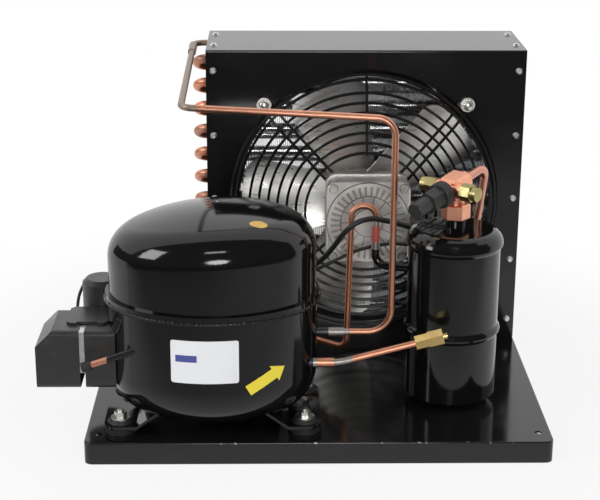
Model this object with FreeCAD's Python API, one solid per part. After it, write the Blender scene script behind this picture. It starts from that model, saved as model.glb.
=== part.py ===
import FreeCAD, Part
import math
import os
from FreeCAD import Vector

# An air-cooled hermetic condensing unit on a folded tray: compressor at the front left, liquid
# receiver at the front right, fan and finned coil in a sheet housing along the back.
# Millimetres. The origin is the middle of the tray's footprint, on the floor. X runs to the right,
# Y to the back and Z up.

# Tray
tray_length = 430.0
tray_width = 370.0
tray_height = 21.0
tray_sheet = 1.5
tray_corner = 8.0
tray_fold = 1.2
tray_hole_radius = 3.25
tray_hole_inset_x = 12.0
tray_hole_inset_y = 20.0

# Sheet housing around the fan and the coil
housing_width = 325.0
housing_depth = 110.0
housing_front = 73.0
housing_height = 310.5
sheet = 1.2
panel_flange = 14.0
rear_lip = 12.0
screw_inset = 7.3
screw_first_drop = 21.3
screw_pitch = 67.2
screws_per_side = 5
top_screw_front = 27.0
top_screw_back = 23.0
screw_head_radius = 3.7
screw_head_height = 2.2
screw_shank_radius = 1.9
screw_shank_length = 5.5

# Coil: two staggered rows of tubes through a block of fins
tube_radius = 4.75
tube_pitch = 25.0
tube_levels = 12
row_gap = 21.65
coil_middle = 150.0
coil_top_drop = 9.0
fin_margin = 2.0
fin_head_room = 1.0
fin_pitch = 6.5
fin_thickness = 2.2
fin_groove = 4.6
plate_setback = 20.0
tube_sides = 8
bend_steps = 6

# Fan, collar and guard
fan_x = 52.5
fan_z = 172.6
collar_mouth_radius = 139.5
collar_radius = 131.0
collar_end = 27.0
collar_flare = 8.5
blade_count = 5
blade_tip_radius = 127.0
blade_root_radius = 19.0
blade_root_width = 46.0
blade_tip_width = 92.0
blade_thickness = 1.6
blade_pitch = 22.0
blade_camber_radius = 150.0
blade_corner = 16.0
blade_first_angle = 37.0
blade_middle = 88.0
hub_radius = 31.0
hub_thickness = 2.4
hub_boss_radius = 10.0
hub_boss_length = 17.0
fan_shaft_radius = 4.0
guard_wire = 2.6
guard_rings = [136.0, 131.0, 119.0, 109.5, 100.0, 90.5, 81.0, 71.5, 62.0]
guard_spoke_half_gap = 5.0
guard_lug_radius = 146.7
guard_lug_flat = 6.0
guard_knee_radius = 122.0
guard_knee_rise = 13.0
guard_nose_radius = 60.0
guard_bolt_radius = 3.0
guard_washer_radius = 7.5
guard_washer_height = 1.6
guard_head_flats = 10.0
guard_head_height = 4.0
guard_bolt_reach = 6.0

# Fan motor
motor_width = 83.5
motor_height = 84.5
motor_depth = 36.0
motor_split = 15.0
motor_corner = 11.0
motor_wall = 4.0
motor_cavity_radius = 35.5
motor_screw_inset = 6.8
motor_screw_radius = 2.0
motor_screw_head = 3.8
motor_screw_head_height = 2.4
motor_screw_past = 4.0
motor_nut_height = 3.0
motor_lip = 6.5
motor_rim = 8.0
motor_waist = 1.4
motor_edge = 1.5
motor_face_radius = 41.2
motor_face_proud = 1.2
motor_face_base = 2.4
motor_trough_outer = 37.5
motor_trough_inner = 28.0
motor_trough_depth = 3.0
motor_rib_count = 36
motor_rib_width = 3.2
motor_rib_drop = 0.6
motor_recess_radius = 26.0
motor_recess_depth = 1.0
motor_disc_radius = 14.5
stator_length = 15.0
rotor_radius = 20.0
air_gap = 0.5
bearing_radius = 7.0
bearing_wall = 2.5
bearing_length = 6.0
running_gap = 0.05
face_gap = 0.5

# Compressor shell and feet
comp_x = -98.0
comp_y = -121.0
shell_half_length = 96.5
shell_half_width = 76.5
upper_shell_inset = 1.0
shell_end_radius = 65.0
shell_bottom = 32.0
shell_seam = 144.0
shell_top = 226.0
shell_shoulder = 42.0
upper_shoulder = 30.0
crown_radius = 260.0
crown_shift = 15.0
shell_wall = 3.0
shell_inner_bevel = 34.0
upper_inner_bevel = 46.0
flange_reach = 2.4
flange_height = 4.0
foot_spacing_x = 170.0
foot_spacing_y = 70.0
foot_sheet = 3.0
foot_margin = 15.0
foot_inner_reach = 44.0
foot_rise = 15.0
foot_crest = 8.0
grommet_radius = 14.0
grommet_waist = 9.0
grommet_under = 6.5
grommet_over = 3.0
grommet_bore_gap = 0.3
grommet_bevel = 1.7
comp_bolt_radius = 3.0
comp_bolt_flats = 10.0
comp_bolt_head = 4.0
comp_nut_height = 5.0
comp_washer_radius = 9.0
comp_washer_height = 1.5
comp_bolt_above = 2.5

# Compressor pump and motor inside the shell
comp_stator_radius = 57.0
comp_stator_flat = 52.0
comp_stator_low = 66.0
comp_stator_height = 44.0
comp_rotor_radius = 30.0
winding_radius = 44.0
winding_gap = 3.0
winding_height = 11.0
crank_radius = 9.0
crank_throw = 8.0
crank_pin_radius = 6.0
crank_web_radius = 19.0
crank_web_height = 8.0
crank_pin_height = 20.0
block_thickness = 14.0
block_width = 84.0
bearing_tower_radius = 16.0
bore_radius = 14.0
cylinder_wall = 5.0
cylinder_start = 37.0
cylinder_length = 32.0
piston_length = 14.0
piston_gap = 0.05
rod_thickness = 8.0
rod_width = 10.0
open_end_gap = 0.6
open_end_wall = 4.0
head_thickness = 9.0
head_width = 42.0
head_bevel = 6.0
spring_radius = 5.0
spring_wall = 2.0
spring_x = 37.0
spring_y = 33.0
spacer_radius = 2.4

# Electrical box on the compressor's left end
box_left = -259.0
box_right = -186.0
box_front = -155.0
box_back = -95.0
box_low = 62.0
box_high = 118.0
box_groove_left = -219.0
box_groove_right = -214.0
box_groove_depth = 1.5
box_bevel = 15.0
box_open_foot = 14.0
box_edge = 5.0
box_wall = 2.2
strap_width = 4.6
strap_thickness = 0.8
lid_thickness = 2.4
lid_length = 38.0
lid_width = 42.0
lid_x = -213.0
lid_y = -117.0
lid_slot_depth = 3.0
lid_bevel = 4.0
capacitor_radius = 18.5
capacitor_x = -205.0
capacitor_top = 143.0
capacitor_bevel = 4.0
terminal_pin_radius = 1.6
terminal_pin_length = 9.0
terminal_pin_circle = 6.5
terminal_disc_radius = 14.0
terminal_disc_proud = 2.2
terminal_z = 96.0

# Pipes
line_radius = 3.175
liquid_line_radius = 3.0
stub_radius = 4.0
sleeve_radius = 4.2
line_bend = 17.0
small_bend = 11.0
first_bend = 22.0
discharge_y = -105.0
discharge_z = 98.0
discharge_stub_end = 10.0
discharge_sleeve_end = 25.0
discharge_x = 69.0
discharge_top = 304.0
coil_run_out = 16.0
discharge_left_y = -90.0
discharge_left_z = 311.0
inlet_sleeve_length = 32.0
liquid_front_x = 29.5
liquid_front_y = -55.0
liquid_low_z = 61.0
liquid_rear_y = -32.0
liquid_rear_left = -70.0
liquid_rear_right = 0.0
liquid_turn_y = 8.0
liquid_turn_z = 43.0
liquid_top_x = 33.0
liquid_apex_z = 207.0
liquid_down_x = 56.5
liquid_collar_z = 187.0
inlet_stub_top = 164.0
inlet_stub_radius = 4.0
inlet_stub_rise = 16.0
suction_y = -148.0
suction_z = 84.7
suction_stub_end = -5.5
suction_sleeve_end = 14.0
suction_corner_x = 19.0
suction_end_x = 90.5
suction_end_z = 103.8
suction_bend = 60.0

# Suction fitting
fitting_flats = 12.5
fitting_nut_length = 12.0
fitting_body_flats = 14.2
fitting_body_length = 14.0
fitting_tip_radius = 3.0
fitting_tip_length = 4.0
fitting_overlap = 2.0

# Process tube
process_root_x = -152.0
process_root_y = -172.0
process_root_z = 111.0
process_bend = 14.0
process_depth = 34.0
process_end_x = -206.0
process_end_z = 93.0
process_cap_length = 9.0
process_cap_radius = 4.6

# Receiver and its valve
receiver_x = 129.0
receiver_y = -82.0
receiver_radius = 43.5
receiver_bottom = 24.0
receiver_bottom_bevel = 7.0
receiver_wall = 2.5
bead_radius = 46.0
low_bead = 96.0
low_bead_half = 5.0
bead_steps = 6
top_bead_rise = 5.0
shoulder_radius = 13.0
shoulder_steps = 7
receiver_shoulder = 194.0
crown_rise = 1.5
neck_radius = 9.2
neck_height = 9.0
foot_ring_radius = 30.0
foot_ring_wall = 3.0
valve_turn = 229.0
valve_tilt = 9.5
nut_turn = -11.0
nut_flats = 24.0
nut_height = 15.0
nut_bevel = 1.2
valve_rise = 17.5
port_offset = 10.5
valve_neck_radius = 8.0
valve_arm_radius = 8.6
valve_arm_half = 13.5
stem_arm = 20.0
valve_block_half = 10.5
valve_block_reach = 4.0
valve_block_bevel = 2.5
port_arm_radius = 7.4
valve_bore_radius = 4.2
stem_radius = 4.1
stem_square = 5.0
stem_start = 2.0
stem_proud = 3.0
stem_end = 36.0
cap_collar_radius = 12.2
cap_collar_length = 10.0
cap_hex_flats = 18.5
cap_hex_end = 27.0
cap_nose_radius = 7.9
cap_length = 46.5
cap_cavity_radius = 6.7
cap_edge = 1.0
cap_flutes = 28
cap_flute_radius = 0.8
cap_seat_gap = 0.3
port_cap_radius = 7.3
port_cap_length = 17.0
port_cap_hex = 11.0
port_nose_radius = 6.6
port_nipple_radius = 4.6
port_nipple_length = 9.0
outlet_radius = 3.8
outlet_run = 36.0
outlet_lean_x = -6.0
outlet_lean_y = 12.0
outlet_low = 178.0

# Leads
fan_lead_radius = 2.6
earth_lead_radius = 1.8
capacitor_lead_radius = 1.5
gland_wall = 2.4
gland_length = 7.0
fan_gland_drop = 17.0
earth_gland_drop = 31.0
boss_wall = 1.6
boss_length = 6.0
loop_boss_length = 2.0
boss_turn = 50.0
fan_boss_drop = 17.0
earth_boss_drop = 33.0
loop_boss_drop = 6.0
loop_turn = 125.0
loop_dip = 20.0
capacitor_lead_entry = 18.0
capacitor_lead_x = -231.0

tray_top = tray_height
neck_top = receiver_shoulder + neck_height
valve_axis_z = neck_top + nut_height + valve_rise
housing_left = tray_length / 2 - housing_width
coil_run_x = housing_left - coil_run_out
housing_right = tray_length / 2
housing_back = housing_front + housing_depth
housing_top = tray_top + housing_height
inner_front = housing_front + sheet
inner_top = housing_top - sheet
fan_axis = Vector(fan_x, 0, fan_z)
motor_back = motor_depth
up = Vector(0, 0, 1)
right = Vector(1, 0, 0)
back = Vector(0, 1, 0)


# Shared forms

def block(low, high):
    """A box between two corners."""
    return Part.makeBox(high[0] - low[0], high[1] - low[1], high[2] - low[2], Vector(*low))


def rod(start, end, radius):
    """A round bar between two points."""
    return Part.makeCylinder(radius, (end - start).Length, start, end - start)


def placed(shape, base, direction):
    """A shape made along +Z, moved to base and turned to point along direction."""
    shape.Placement = FreeCAD.Placement(base, FreeCAD.Rotation(up, direction))
    return shape


def turned(profile, base, direction=up):
    """A solid of revolution from (radius, height) points along direction."""
    points = [Vector(r, 0, h) for r, h in profile]
    face = Part.Face(Part.makePolygon(points + [points[0]]))
    return placed(face.revolve(Vector(0, 0, 0), up, 360), base, direction)


def hexagon(flats, height, base, direction=up):
    """A hexagonal bar with the given distance across its flats."""
    reach = flats / math.sqrt(3)
    points = [Vector(reach * math.cos(math.radians(60 * i)), reach * math.sin(math.radians(60 * i)), 0)
              for i in range(7)]
    return placed(Part.Face(Part.makePolygon(points)).extrude(up * height), base, direction)


def round_path(points, radii):
    """Straight runs joined by tangent arcs of the given radii."""
    edges = []
    here = points[0]
    for i in range(1, len(points) - 1):
        corner = points[i]
        before = (points[i - 1] - corner).normalize()
        after = (points[i + 1] - corner).normalize()
        half = before.getAngle(after) / 2
        reach = radii[i - 1] / math.tan(half)
        start = corner + before * reach
        end = corner + after * reach
        centre = corner + (before + after).normalize() * (radii[i - 1] / math.sin(half))
        middle = centre + (corner - centre).normalize() * radii[i - 1]
        if (start - here).Length > 1e-6:
            edges.append(Part.LineSegment(here, start).toShape())
        edges.append(Part.Arc(start, middle, end).toShape())
        here = end
    edges.append(Part.LineSegment(here, points[-1]).toShape())
    return Part.Wire(edges)


def pipe(points, radius, radii):
    """A round bar along a bent path. radii is one bend radius, or one for each inner point."""
    if not isinstance(radii, list):
        radii = [radii] * (len(points) - 2)
    path = round_path(points, radii)
    section = Part.Wire(Part.makeCircle(radius, points[0], points[1] - points[0]))
    return path.makePipeShell([section], True, False)


def faceted_tube(stations, radius, normal):
    """A tube with flat sides through (point, direction) stations that lie in one plane."""
    rings = []
    for point, direction in stations:
        side = normal.cross(direction).normalize()
        ring = []
        for i in range(tube_sides):
            angle = 2 * math.pi * (i + 0.5) / tube_sides
            ring.append(point + normal * (radius * math.sin(angle)) + side * (radius * math.cos(angle)))
        rings.append(Part.makePolygon(ring + [ring[0]]))
    return Part.makeLoft(rings, True, True)


def group(solids):
    return Part.makeCompound(solids)


def hole(shape, centre, direction, radius, depth):
    return shape.cut(Part.makeCylinder(radius, 2 * depth, centre - direction * depth, direction))


# Tray

def tray_holes():
    x = tray_length / 2 - tray_hole_inset_x
    y = tray_width / 2 - tray_hole_inset_y
    return [(sx * x, sy * y) for sx in (-1, 1) for sy in (-1, 1)]


def compressor_bolts_xy():
    return [(comp_x + sx * foot_spacing_x / 2, comp_y + sy * foot_spacing_y / 2)
            for sx in (-1, 1) for sy in (-1, 1)]


def base_tray():
    tray = block((-tray_length / 2, -tray_width / 2, 0), (tray_length / 2, tray_width / 2, tray_height))
    corners = [e for e in tray.Edges if e.BoundBox.ZLength > tray_height / 2]
    tray = tray.makeFillet(tray_corner, corners)
    rim = [e for e in tray.Edges if e.BoundBox.ZMin > tray_height - 0.01]
    tray = tray.makeFillet(tray_fold, rim)
    x = tray_length / 2 - tray_sheet
    y = tray_width / 2 - tray_sheet
    hollow = block((-x, -y, -1), (x, y, tray_height - tray_sheet))
    corners = [e for e in hollow.Edges if e.BoundBox.ZLength > tray_height / 2]
    tray = tray.cut(hollow.makeFillet(tray_corner - tray_sheet, corners))
    for x, y in tray_holes():
        tray = hole(tray, Vector(x, y, tray_height), up, tray_hole_radius, tray_height)
    for x, y in compressor_bolts_xy():
        tray = hole(tray, Vector(x, y, tray_height), up, comp_bolt_radius + grommet_bore_gap, 2 * tray_sheet)
    return tray


# Housing

def front_screws():
    """The screws along both edges of the front sheet, as (x, z)."""
    rows = [housing_top - screw_first_drop - i * screw_pitch for i in range(screws_per_side)]
    return [(x, z) for x in (housing_left + screw_inset, housing_right - screw_inset) for z in rows]


def top_screws():
    """The screws at both ends of the top sheet, as (x, y)."""
    rows = [housing_front + top_screw_front, housing_back - top_screw_back]
    return [(x, y) for x in (housing_left + screw_inset, housing_right - screw_inset) for y in rows]


def lug_points():
    """The four guard bolts on the front sheet."""
    reach = guard_lug_radius * math.sqrt(0.5)
    return [Vector(fan_x + sx * reach, housing_front, fan_z + sz * reach) for sx in (-1, 1) for sz in (-1, 1)]


def fan_shroud():
    front = block((housing_left, housing_front, tray_top), (housing_right, inner_front, housing_top))
    top = block((housing_left, housing_front, inner_top), (housing_right, housing_back, housing_top))
    lip = block((housing_left, housing_back - sheet, housing_top - rear_lip),
                (housing_right, housing_back, housing_top))
    shroud = front.fuse([top, lip]).removeSplitter()
    fold = [e for e in shroud.Edges if e.BoundBox.XLength > housing_width / 2
            and abs(e.BoundBox.ZMax - housing_top) < 0.01 and abs(e.BoundBox.YMin - housing_front) < 0.01]
    shroud = shroud.makeFillet(sheet * 1.5, fold)
    mouth = collar_mouth_radius + sheet
    shroud = hole(shroud, Vector(fan_x, housing_front, fan_z), back, mouth, 4 * sheet)
    end = collar_end - sheet
    collar = turned([(mouth, 0), (collar_mouth_radius, 0), (collar_radius, collar_flare),
                     (collar_radius, end), (collar_radius + sheet, end),
                     (collar_radius + sheet, collar_flare + sheet / 2),
                     (mouth, sheet)], Vector(fan_x, housing_front, fan_z), back)
    shroud = shroud.fuse(collar).removeSplitter()
    for x, z in front_screws():
        shroud = hole(shroud, Vector(x, housing_front, z), back, screw_shank_radius, 2 * sheet)
    for x, y in top_screws():
        shroud = hole(shroud, Vector(x, y, housing_top), up, screw_shank_radius, 2 * sheet)
    for p in lug_points():
        shroud = hole(shroud, p, back, guard_bolt_radius, 2 * sheet)
    return shroud


def side_panel(outer_x, inward):
    """A side of the housing with flanges under the front, top and tray."""
    def span(depth):
        ends = sorted((outer_x, outer_x + inward * depth))
        return ends[0], ends[1]
    wall = span(sheet)
    reach = span(panel_flange)
    rear = housing_back - sheet
    panel = block((wall[0], inner_front, tray_top), (wall[1], rear, inner_top))
    front = block((reach[0], inner_front, tray_top), (reach[1], inner_front + sheet, inner_top))
    top = block((reach[0], inner_front, inner_top - sheet), (reach[1], rear, inner_top))
    low = block((reach[0], inner_front, tray_top), (reach[1], rear, tray_top + sheet))
    panel = panel.fuse([front, top, low]).removeSplitter()
    for x, z in front_screws():
        if reach[0] < x < reach[1]:
            panel = hole(panel, Vector(x, inner_front, z), back, screw_shank_radius, 2 * sheet)
    for x, y in top_screws():
        if reach[0] < x < reach[1]:
            panel = hole(panel, Vector(x, y, inner_top), up, screw_shank_radius, 2 * sheet)
    return panel


def screw(base, direction):
    """A button-head screw whose head stands on base and whose shank runs the other way."""
    r = screw_head_radius
    return turned([(0, -screw_shank_length), (screw_shank_radius, -screw_shank_length),
                   (screw_shank_radius, 0), (r, 0), (r * 0.6, screw_head_height),
                   (0, screw_head_height)], base, direction)


def shroud_screws():
    screws = [screw(Vector(x, housing_front, z), back * -1) for x, z in front_screws()]
    return group(screws + [screw(Vector(x, y, housing_top), up) for x, y in top_screws()])


# Coil

coil_left = housing_left
coil_right = housing_right - plate_setback
front_row_y = coil_middle - row_gap / 2
back_row_y = coil_middle + row_gap / 2
back_row_top = housing_top - coil_top_drop


def tube_centre(row, level):
    """Row 0 is the front one, and its tubes stand half a pitch lower than the back row's."""
    y = front_row_y if row == 0 else back_row_y
    return y, back_row_top - level * tube_pitch - (tube_pitch / 2 if row == 0 else 0)


def bend_axis(a, b):
    """The direction between two tubes and the normal of the plane that they share."""
    gap = Vector(0, b[0] - a[0], b[1] - a[1])
    return gap, gap.cross(right).normalize()


def half_turn(a, b, x, side):
    """Stations of a bend from tube a to tube b at x, bulging to side."""
    gap, normal = bend_axis(a, b)
    radius = gap.Length / 2
    middle = Vector(x, (a[0] + b[0]) / 2, (a[1] + b[1]) / 2)
    across = gap.normalize()
    stations = []
    for i in range(bend_steps + 1):
        angle = math.pi * i / bend_steps
        point = middle - across * (radius * math.cos(angle)) + right * (side * radius * math.sin(angle))
        heading = across * math.sin(angle) + right * (side * math.cos(angle))
        stations.append((point, heading))
    return stations, normal


def hairpin(level):
    """One tube of the back row joined to the front row's by a bend at the right."""
    a = tube_centre(1, level)
    b = tube_centre(0, level)
    stations, normal = half_turn(a, b, coil_right, 1)
    start = (Vector(coil_left, a[0], a[1]), right)
    end = (Vector(coil_left, b[0], b[1]), right * -1)
    return faceted_tube([start] + stations + [end], tube_radius, normal)


def condenser_tubes():
    return group([hairpin(level) for level in range(tube_levels)])


def return_bends():
    bends = []
    for level in range(tube_levels - 1):
        stations, normal = half_turn(tube_centre(0, level), tube_centre(1, level + 1), coil_left, -1)
        bends.append(faceted_tube(stations, tube_radius, normal))
    return group(bends)


def tube_cutters(low, high):
    """Straight tubes from x low to x high, to cut seats that fit the hairpins."""
    cutters = []
    for level in range(tube_levels):
        normal = bend_axis(tube_centre(1, level), tube_centre(0, level))[1]
        for row in (0, 1):
            y, z = tube_centre(row, level)
            ends = [(Vector(low, y, z), right), (Vector(high, y, z), right)]
            cutters.append(faceted_tube(ends, tube_radius, normal))
    return cutters


def condenser_fins():
    low = front_row_y - row_gap / 2
    high = back_row_y + row_gap / 2
    left = coil_left + sheet + fin_margin
    length = coil_right - sheet - fin_margin - left
    count = round(length / fin_pitch)
    pitch = (length - fin_thickness) / (count - 1)
    points = []
    for i in range(count):
        x = left + i * pitch
        points += [Vector(x, low, 0), Vector(x + fin_thickness, low, 0)]
        if i < count - 1:
            points += [Vector(x + fin_thickness, low + fin_groove, 0), Vector(x + pitch, low + fin_groove, 0)]
    for i in reversed(range(count)):
        x = left + i * pitch
        points += [Vector(x + fin_thickness, high, 0), Vector(x, high, 0)]
        if i > 0:
            points += [Vector(x, high - fin_groove, 0),
                       Vector(x - pitch + fin_thickness, high - fin_groove, 0)]
    floor = tray_top + 2 * sheet
    ceiling = housing_top - screw_shank_length - fin_head_room
    comb = Part.Face(Part.makePolygon(points + [points[0]])).extrude(up * (ceiling - floor))
    comb.translate(up * floor)
    return comb.cut(tube_cutters(left - 1, left + length + 1))


def side_panel_left():
    panel = side_panel(housing_left, 1)
    return panel.cut(tube_cutters(housing_left - 1, housing_left + 2 * sheet))


def side_panel_right():
    return side_panel(housing_right, -1)


def tube_plate():
    """The plate that holds the coil's right end, short of the housing's right side."""
    low = front_row_y - row_gap / 2
    high = back_row_y + row_gap / 2
    floor = tray_top
    ceiling = inner_top
    left = coil_right - sheet
    plate = block((left, low, floor), (coil_right, high, ceiling))
    foot = block((left - panel_flange / 2, low, floor), (coil_right, high, floor + sheet))
    plate = plate.fuse(foot).removeSplitter()
    return plate.cut(tube_cutters(left - 1, coil_right + 1))


# Guard

def guard_height(radius):
    """How far in front of the housing a guard wire's middle lies at a radius."""
    seat = guard_wire / 2
    nose = housing_front - motor_back - guard_wire / 2
    knots = [(guard_lug_radius - guard_lug_flat, seat), (guard_knee_radius, guard_knee_rise),
             (guard_nose_radius, nose)]
    if radius >= knots[0][0]:
        return knots[0][1]
    for (r1, h1), (r2, h2) in zip(knots, knots[1:]):
        if radius >= r2:
            return h1 + (h2 - h1) * (r1 - radius) / (r1 - r2)
    return knots[-1][1]


def guard_ring(radius):
    """A ring welded on the front of the spokes."""
    half = guard_wire / 2
    middle = guard_height(radius) + guard_wire * 0.8
    return turned([(radius - half, middle - half), (radius + half, middle - half),
                   (radius + half, middle + half), (radius - half, middle + half)],
                  Vector(fan_x, housing_front, fan_z), back * -1)


def motor_screw_reach():
    return math.hypot(motor_width / 2 - motor_screw_inset, motor_height / 2 - motor_screw_inset)


def spoke(angle):
    """A long closed loop of wire from a housing bolt to a motor screw."""
    half = guard_wire / 2
    inner = motor_screw_reach()
    radii = [inner, guard_nose_radius, guard_knee_radius, guard_lug_radius - guard_lug_flat, guard_lug_radius]
    line = [(r, -guard_height(r)) for r in radii]
    ribbon = [Vector(r, y - half, 0) for r, y in line] + [Vector(r, y + half, 0) for r, y in reversed(line)]
    side = Part.Face(Part.makePolygon(ribbon + [ribbon[0]])).extrude(up * guard_wire)
    solids = []
    for sign in (-1, 1):
        wire = side.copy()
        wire.translate(up * (sign * guard_spoke_half_gap - half))
        solids.append(wire)
    for r, turn in ((inner, 90), (guard_lug_radius, -90)):
        y = -guard_height(r)
        low = guard_spoke_half_gap - half
        eye = Part.Face(Part.makePolygon([Vector(low, y - half, 0), Vector(low + guard_wire, y - half, 0),
                                          Vector(low + guard_wire, y + half, 0), Vector(low, y + half, 0),
                                          Vector(low, y - half, 0)]))
        loop = eye.revolve(Vector(0, 0, 0), back, 180)
        loop.rotate(Vector(0, 0, 0), back, turn)
        loop.translate(right * r)
        solids.append(loop)
    loop = solids[0].fuse(solids[1:]).removeSplitter()
    loop.rotate(Vector(0, 0, 0), back, -angle)
    loop.translate(Vector(fan_x, housing_front, fan_z))
    return loop


def fan_guard():
    solids = [guard_ring(r) for r in guard_rings]
    for turn in (45, 135, 225, 315):
        solids.append(spoke(turn))
    half = guard_wire / 2
    radii = [guard_rings[0], guard_knee_radius, guard_nose_radius, guard_rings[-1] - guard_wire]
    line = [(r, -guard_height(r)) for r in radii]
    ribbon = [Vector(r, y - half, 0) for r, y in line] + [Vector(r, y + half, 0) for r, y in reversed(line)]
    strut = Part.Face(Part.makePolygon(ribbon + [ribbon[0]])).extrude(up * guard_wire)
    strut.translate(up * -half)
    strut.rotate(Vector(0, 0, 0), back, -90)
    strut.translate(Vector(fan_x, housing_front, fan_z))
    return solids[0].fuse(solids[1:] + [strut]).removeSplitter()


def guard_bolts():
    """A bolt, washer and nut at each lug."""
    solids = []
    stack = guard_wire
    for p in lug_points():
        front = p - back * stack
        washer = Part.makeCylinder(guard_washer_radius, guard_washer_height, front, back * -1)
        head = hexagon(guard_head_flats, guard_head_height, front - back * guard_washer_height, back * -1)
        shank = rod(front, p + back * (sheet + guard_bolt_reach), guard_bolt_radius)
        nut = hexagon(guard_head_flats, guard_head_height, p + back * sheet, back)
        solids.append(washer.fuse([head, shank, nut]).removeSplitter())
    return group(solids)


# Fan motor

def motor_screw_points():
    x = motor_width / 2 - motor_screw_inset
    z = motor_height / 2 - motor_screw_inset
    return [Vector(fan_x + sx * x, 0, fan_z + sz * z) for sx in (-1, 1) for sz in (-1, 1)]


def motor_block(y1, y2, inset=0):
    w = motor_width / 2 - inset
    h = motor_height / 2 - inset
    body = block((fan_x - w, y1, fan_z - h), (fan_x + w, y2, fan_z + h))
    return body.makeFillet(motor_corner, [e for e in body.Edges if e.BoundBox.YLength > (y2 - y1) / 2])


def motor_holes(body):
    for p in motor_screw_points():
        body = hole(body, p, back, motor_screw_radius, 2 * motor_depth)
    return body


def motor_face():
    """The round face: a plain disc, a shallow recess and a trough, in front of the cover."""
    front = -motor_face_proud
    recess = front + motor_recess_depth
    trough = front + motor_trough_depth
    return turned([(0, front), (motor_disc_radius, front), (motor_disc_radius, recess),
                   (motor_recess_radius, recess), (motor_recess_radius, front),
                   (motor_trough_inner, front), (motor_trough_inner, trough),
                   (motor_trough_outer, trough), (motor_trough_outer, front), (motor_face_radius, front),
                   (motor_face_radius, motor_face_base), (0, motor_face_base)], Vector(fan_x, 0, fan_z), back)


def fan_motor_cover():
    """The front half, with short radial ribs all round the trough of its face."""
    centre = Vector(fan_x, 0, fan_z)
    lip = motor_block(0, motor_lip)
    lip = lip.makeChamfer(motor_edge, [e for e in lip.Edges if e.BoundBox.YMax < 0.01])
    lip = lip.cut(Part.makeCylinder(motor_face_radius, motor_face_base, centre, back))
    ribs = []
    for i in range(motor_rib_count):
        rib = block((motor_trough_inner - 1, motor_rib_drop - motor_face_proud, -motor_rib_width / 2),
                    (motor_trough_outer + 1, motor_face_base, motor_rib_width / 2))
        rib.rotate(Vector(0, 0, 0), back, 360.0 * i / motor_rib_count)
        rib.translate(centre)
        ribs.append(rib)
    cover = lip.fuse([motor_block(motor_lip, motor_split, motor_waist), motor_face()] + ribs).removeSplitter()
    cavity = Part.makeCylinder(motor_cavity_radius, motor_split, Vector(fan_x, motor_wall, fan_z), back)
    seat = Part.makeCylinder(bearing_radius + bearing_wall, bearing_length,
                             Vector(fan_x, motor_wall, fan_z), back)
    bore = Part.makeCylinder(bearing_radius, motor_split, Vector(fan_x, motor_wall, fan_z), back)
    return motor_holes(cover.cut(cavity.cut(seat)).cut(bore).removeSplitter())


def motor_gland(drop, lead_radius):
    """The outer end of a gland in the motor's right side, its direction and its radius."""
    end = Vector(fan_x + motor_width / 2 + gland_length, (motor_split + motor_back) / 2, fan_z - drop)
    return end, right, lead_radius + gland_wall


motor_glands = [motor_gland(fan_gland_drop, fan_lead_radius),
                motor_gland(earth_gland_drop, earth_lead_radius)]


def fan_motor_body():
    rim = motor_block(motor_back - motor_rim, motor_back)
    body = motor_block(motor_split, motor_back - motor_rim, motor_waist).fuse(rim).removeSplitter()
    end = motor_back - motor_wall
    middle = Vector(fan_x, motor_split, fan_z)
    cavity = Part.makeCylinder(motor_cavity_radius, end - motor_split, middle, back)
    seat = Part.makeCylinder(bearing_radius + bearing_wall, bearing_length,
                             Vector(fan_x, end - bearing_length, fan_z), back)
    body = body.cut(cavity.cut(seat))
    bore = Part.makeCylinder(bearing_radius, bearing_length, Vector(fan_x, end - bearing_length, fan_z), back)
    shaft = Part.makeCylinder(fan_shaft_radius + face_gap, motor_back, middle, back)
    body = motor_holes(body.cut([bore, shaft]))
    root = gland_length + motor_waist + 1
    glands = [rod(tip - way * root, tip, radius) for tip, way, radius in motor_glands]
    return body.fuse(glands).removeSplitter()


def fan_bearings():
    end = motor_back - motor_wall
    bushes = []
    for y in (motor_wall, end - bearing_length):
        bush = Part.makeCylinder(bearing_radius, bearing_length, Vector(fan_x, y, fan_z), back)
        bushes.append(hole(bush, Vector(fan_x, y, fan_z), back, fan_shaft_radius + running_gap, motor_depth))
    return group(bushes)


stator_start = (motor_depth - stator_length) / 2


def fan_motor_stator():
    ring = Part.makeCylinder(motor_cavity_radius, stator_length, Vector(fan_x, stator_start, fan_z), back)
    return hole(ring, Vector(fan_x, stator_start, fan_z), back, rotor_radius + air_gap, motor_depth)


def fan_motor_rotor():
    core = Part.makeCylinder(rotor_radius, stator_length - 2 * face_gap,
                             Vector(fan_x, stator_start + face_gap, fan_z), back)
    return hole(core, Vector(fan_x, stator_start, fan_z), back, fan_shaft_radius, motor_depth)


def fan_shaft():
    start = motor_wall + face_gap
    return rod(Vector(fan_x, start, fan_z), Vector(fan_x, blade_middle + hub_boss_length / 2 + 2, fan_z),
               fan_shaft_radius)


def fan_motor_screws():
    """The long screws that close the motor and hold it to the guard."""
    length = motor_back + guard_wire + motor_screw_past
    screws = []
    for p in motor_screw_points():
        head = Part.makeCylinder(motor_screw_head, motor_screw_head_height, p, back * -1)
        shank = rod(p, p + back * length, motor_screw_radius)
        nut = hexagon(2 * motor_screw_head, motor_nut_height, p + back * (motor_back + guard_wire), back)
        screws.append(head.fuse([shank, nut]).removeSplitter())
    return group(screws)


# Fan

def blade_outline():
    """A blade laid flat: the radius runs along X and the chord along Y."""
    root = blade_root_width / 2
    tip = blade_tip_width / 2
    x_tip = math.sqrt(blade_tip_radius ** 2 - tip ** 2)
    a = Vector(blade_root_radius, -root, 0)
    b = Vector(x_tip, -tip, 0)
    c = Vector(x_tip, tip, 0)
    d = Vector(blade_root_radius, root, 0)
    edges = [Part.LineSegment(a, b).toShape(),
             Part.Arc(b, Vector(blade_tip_radius, 0, 0), c).toShape(),
             Part.LineSegment(c, d).toShape(), Part.LineSegment(d, a).toShape()]
    return Part.Face(Part.Wire(edges))


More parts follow.
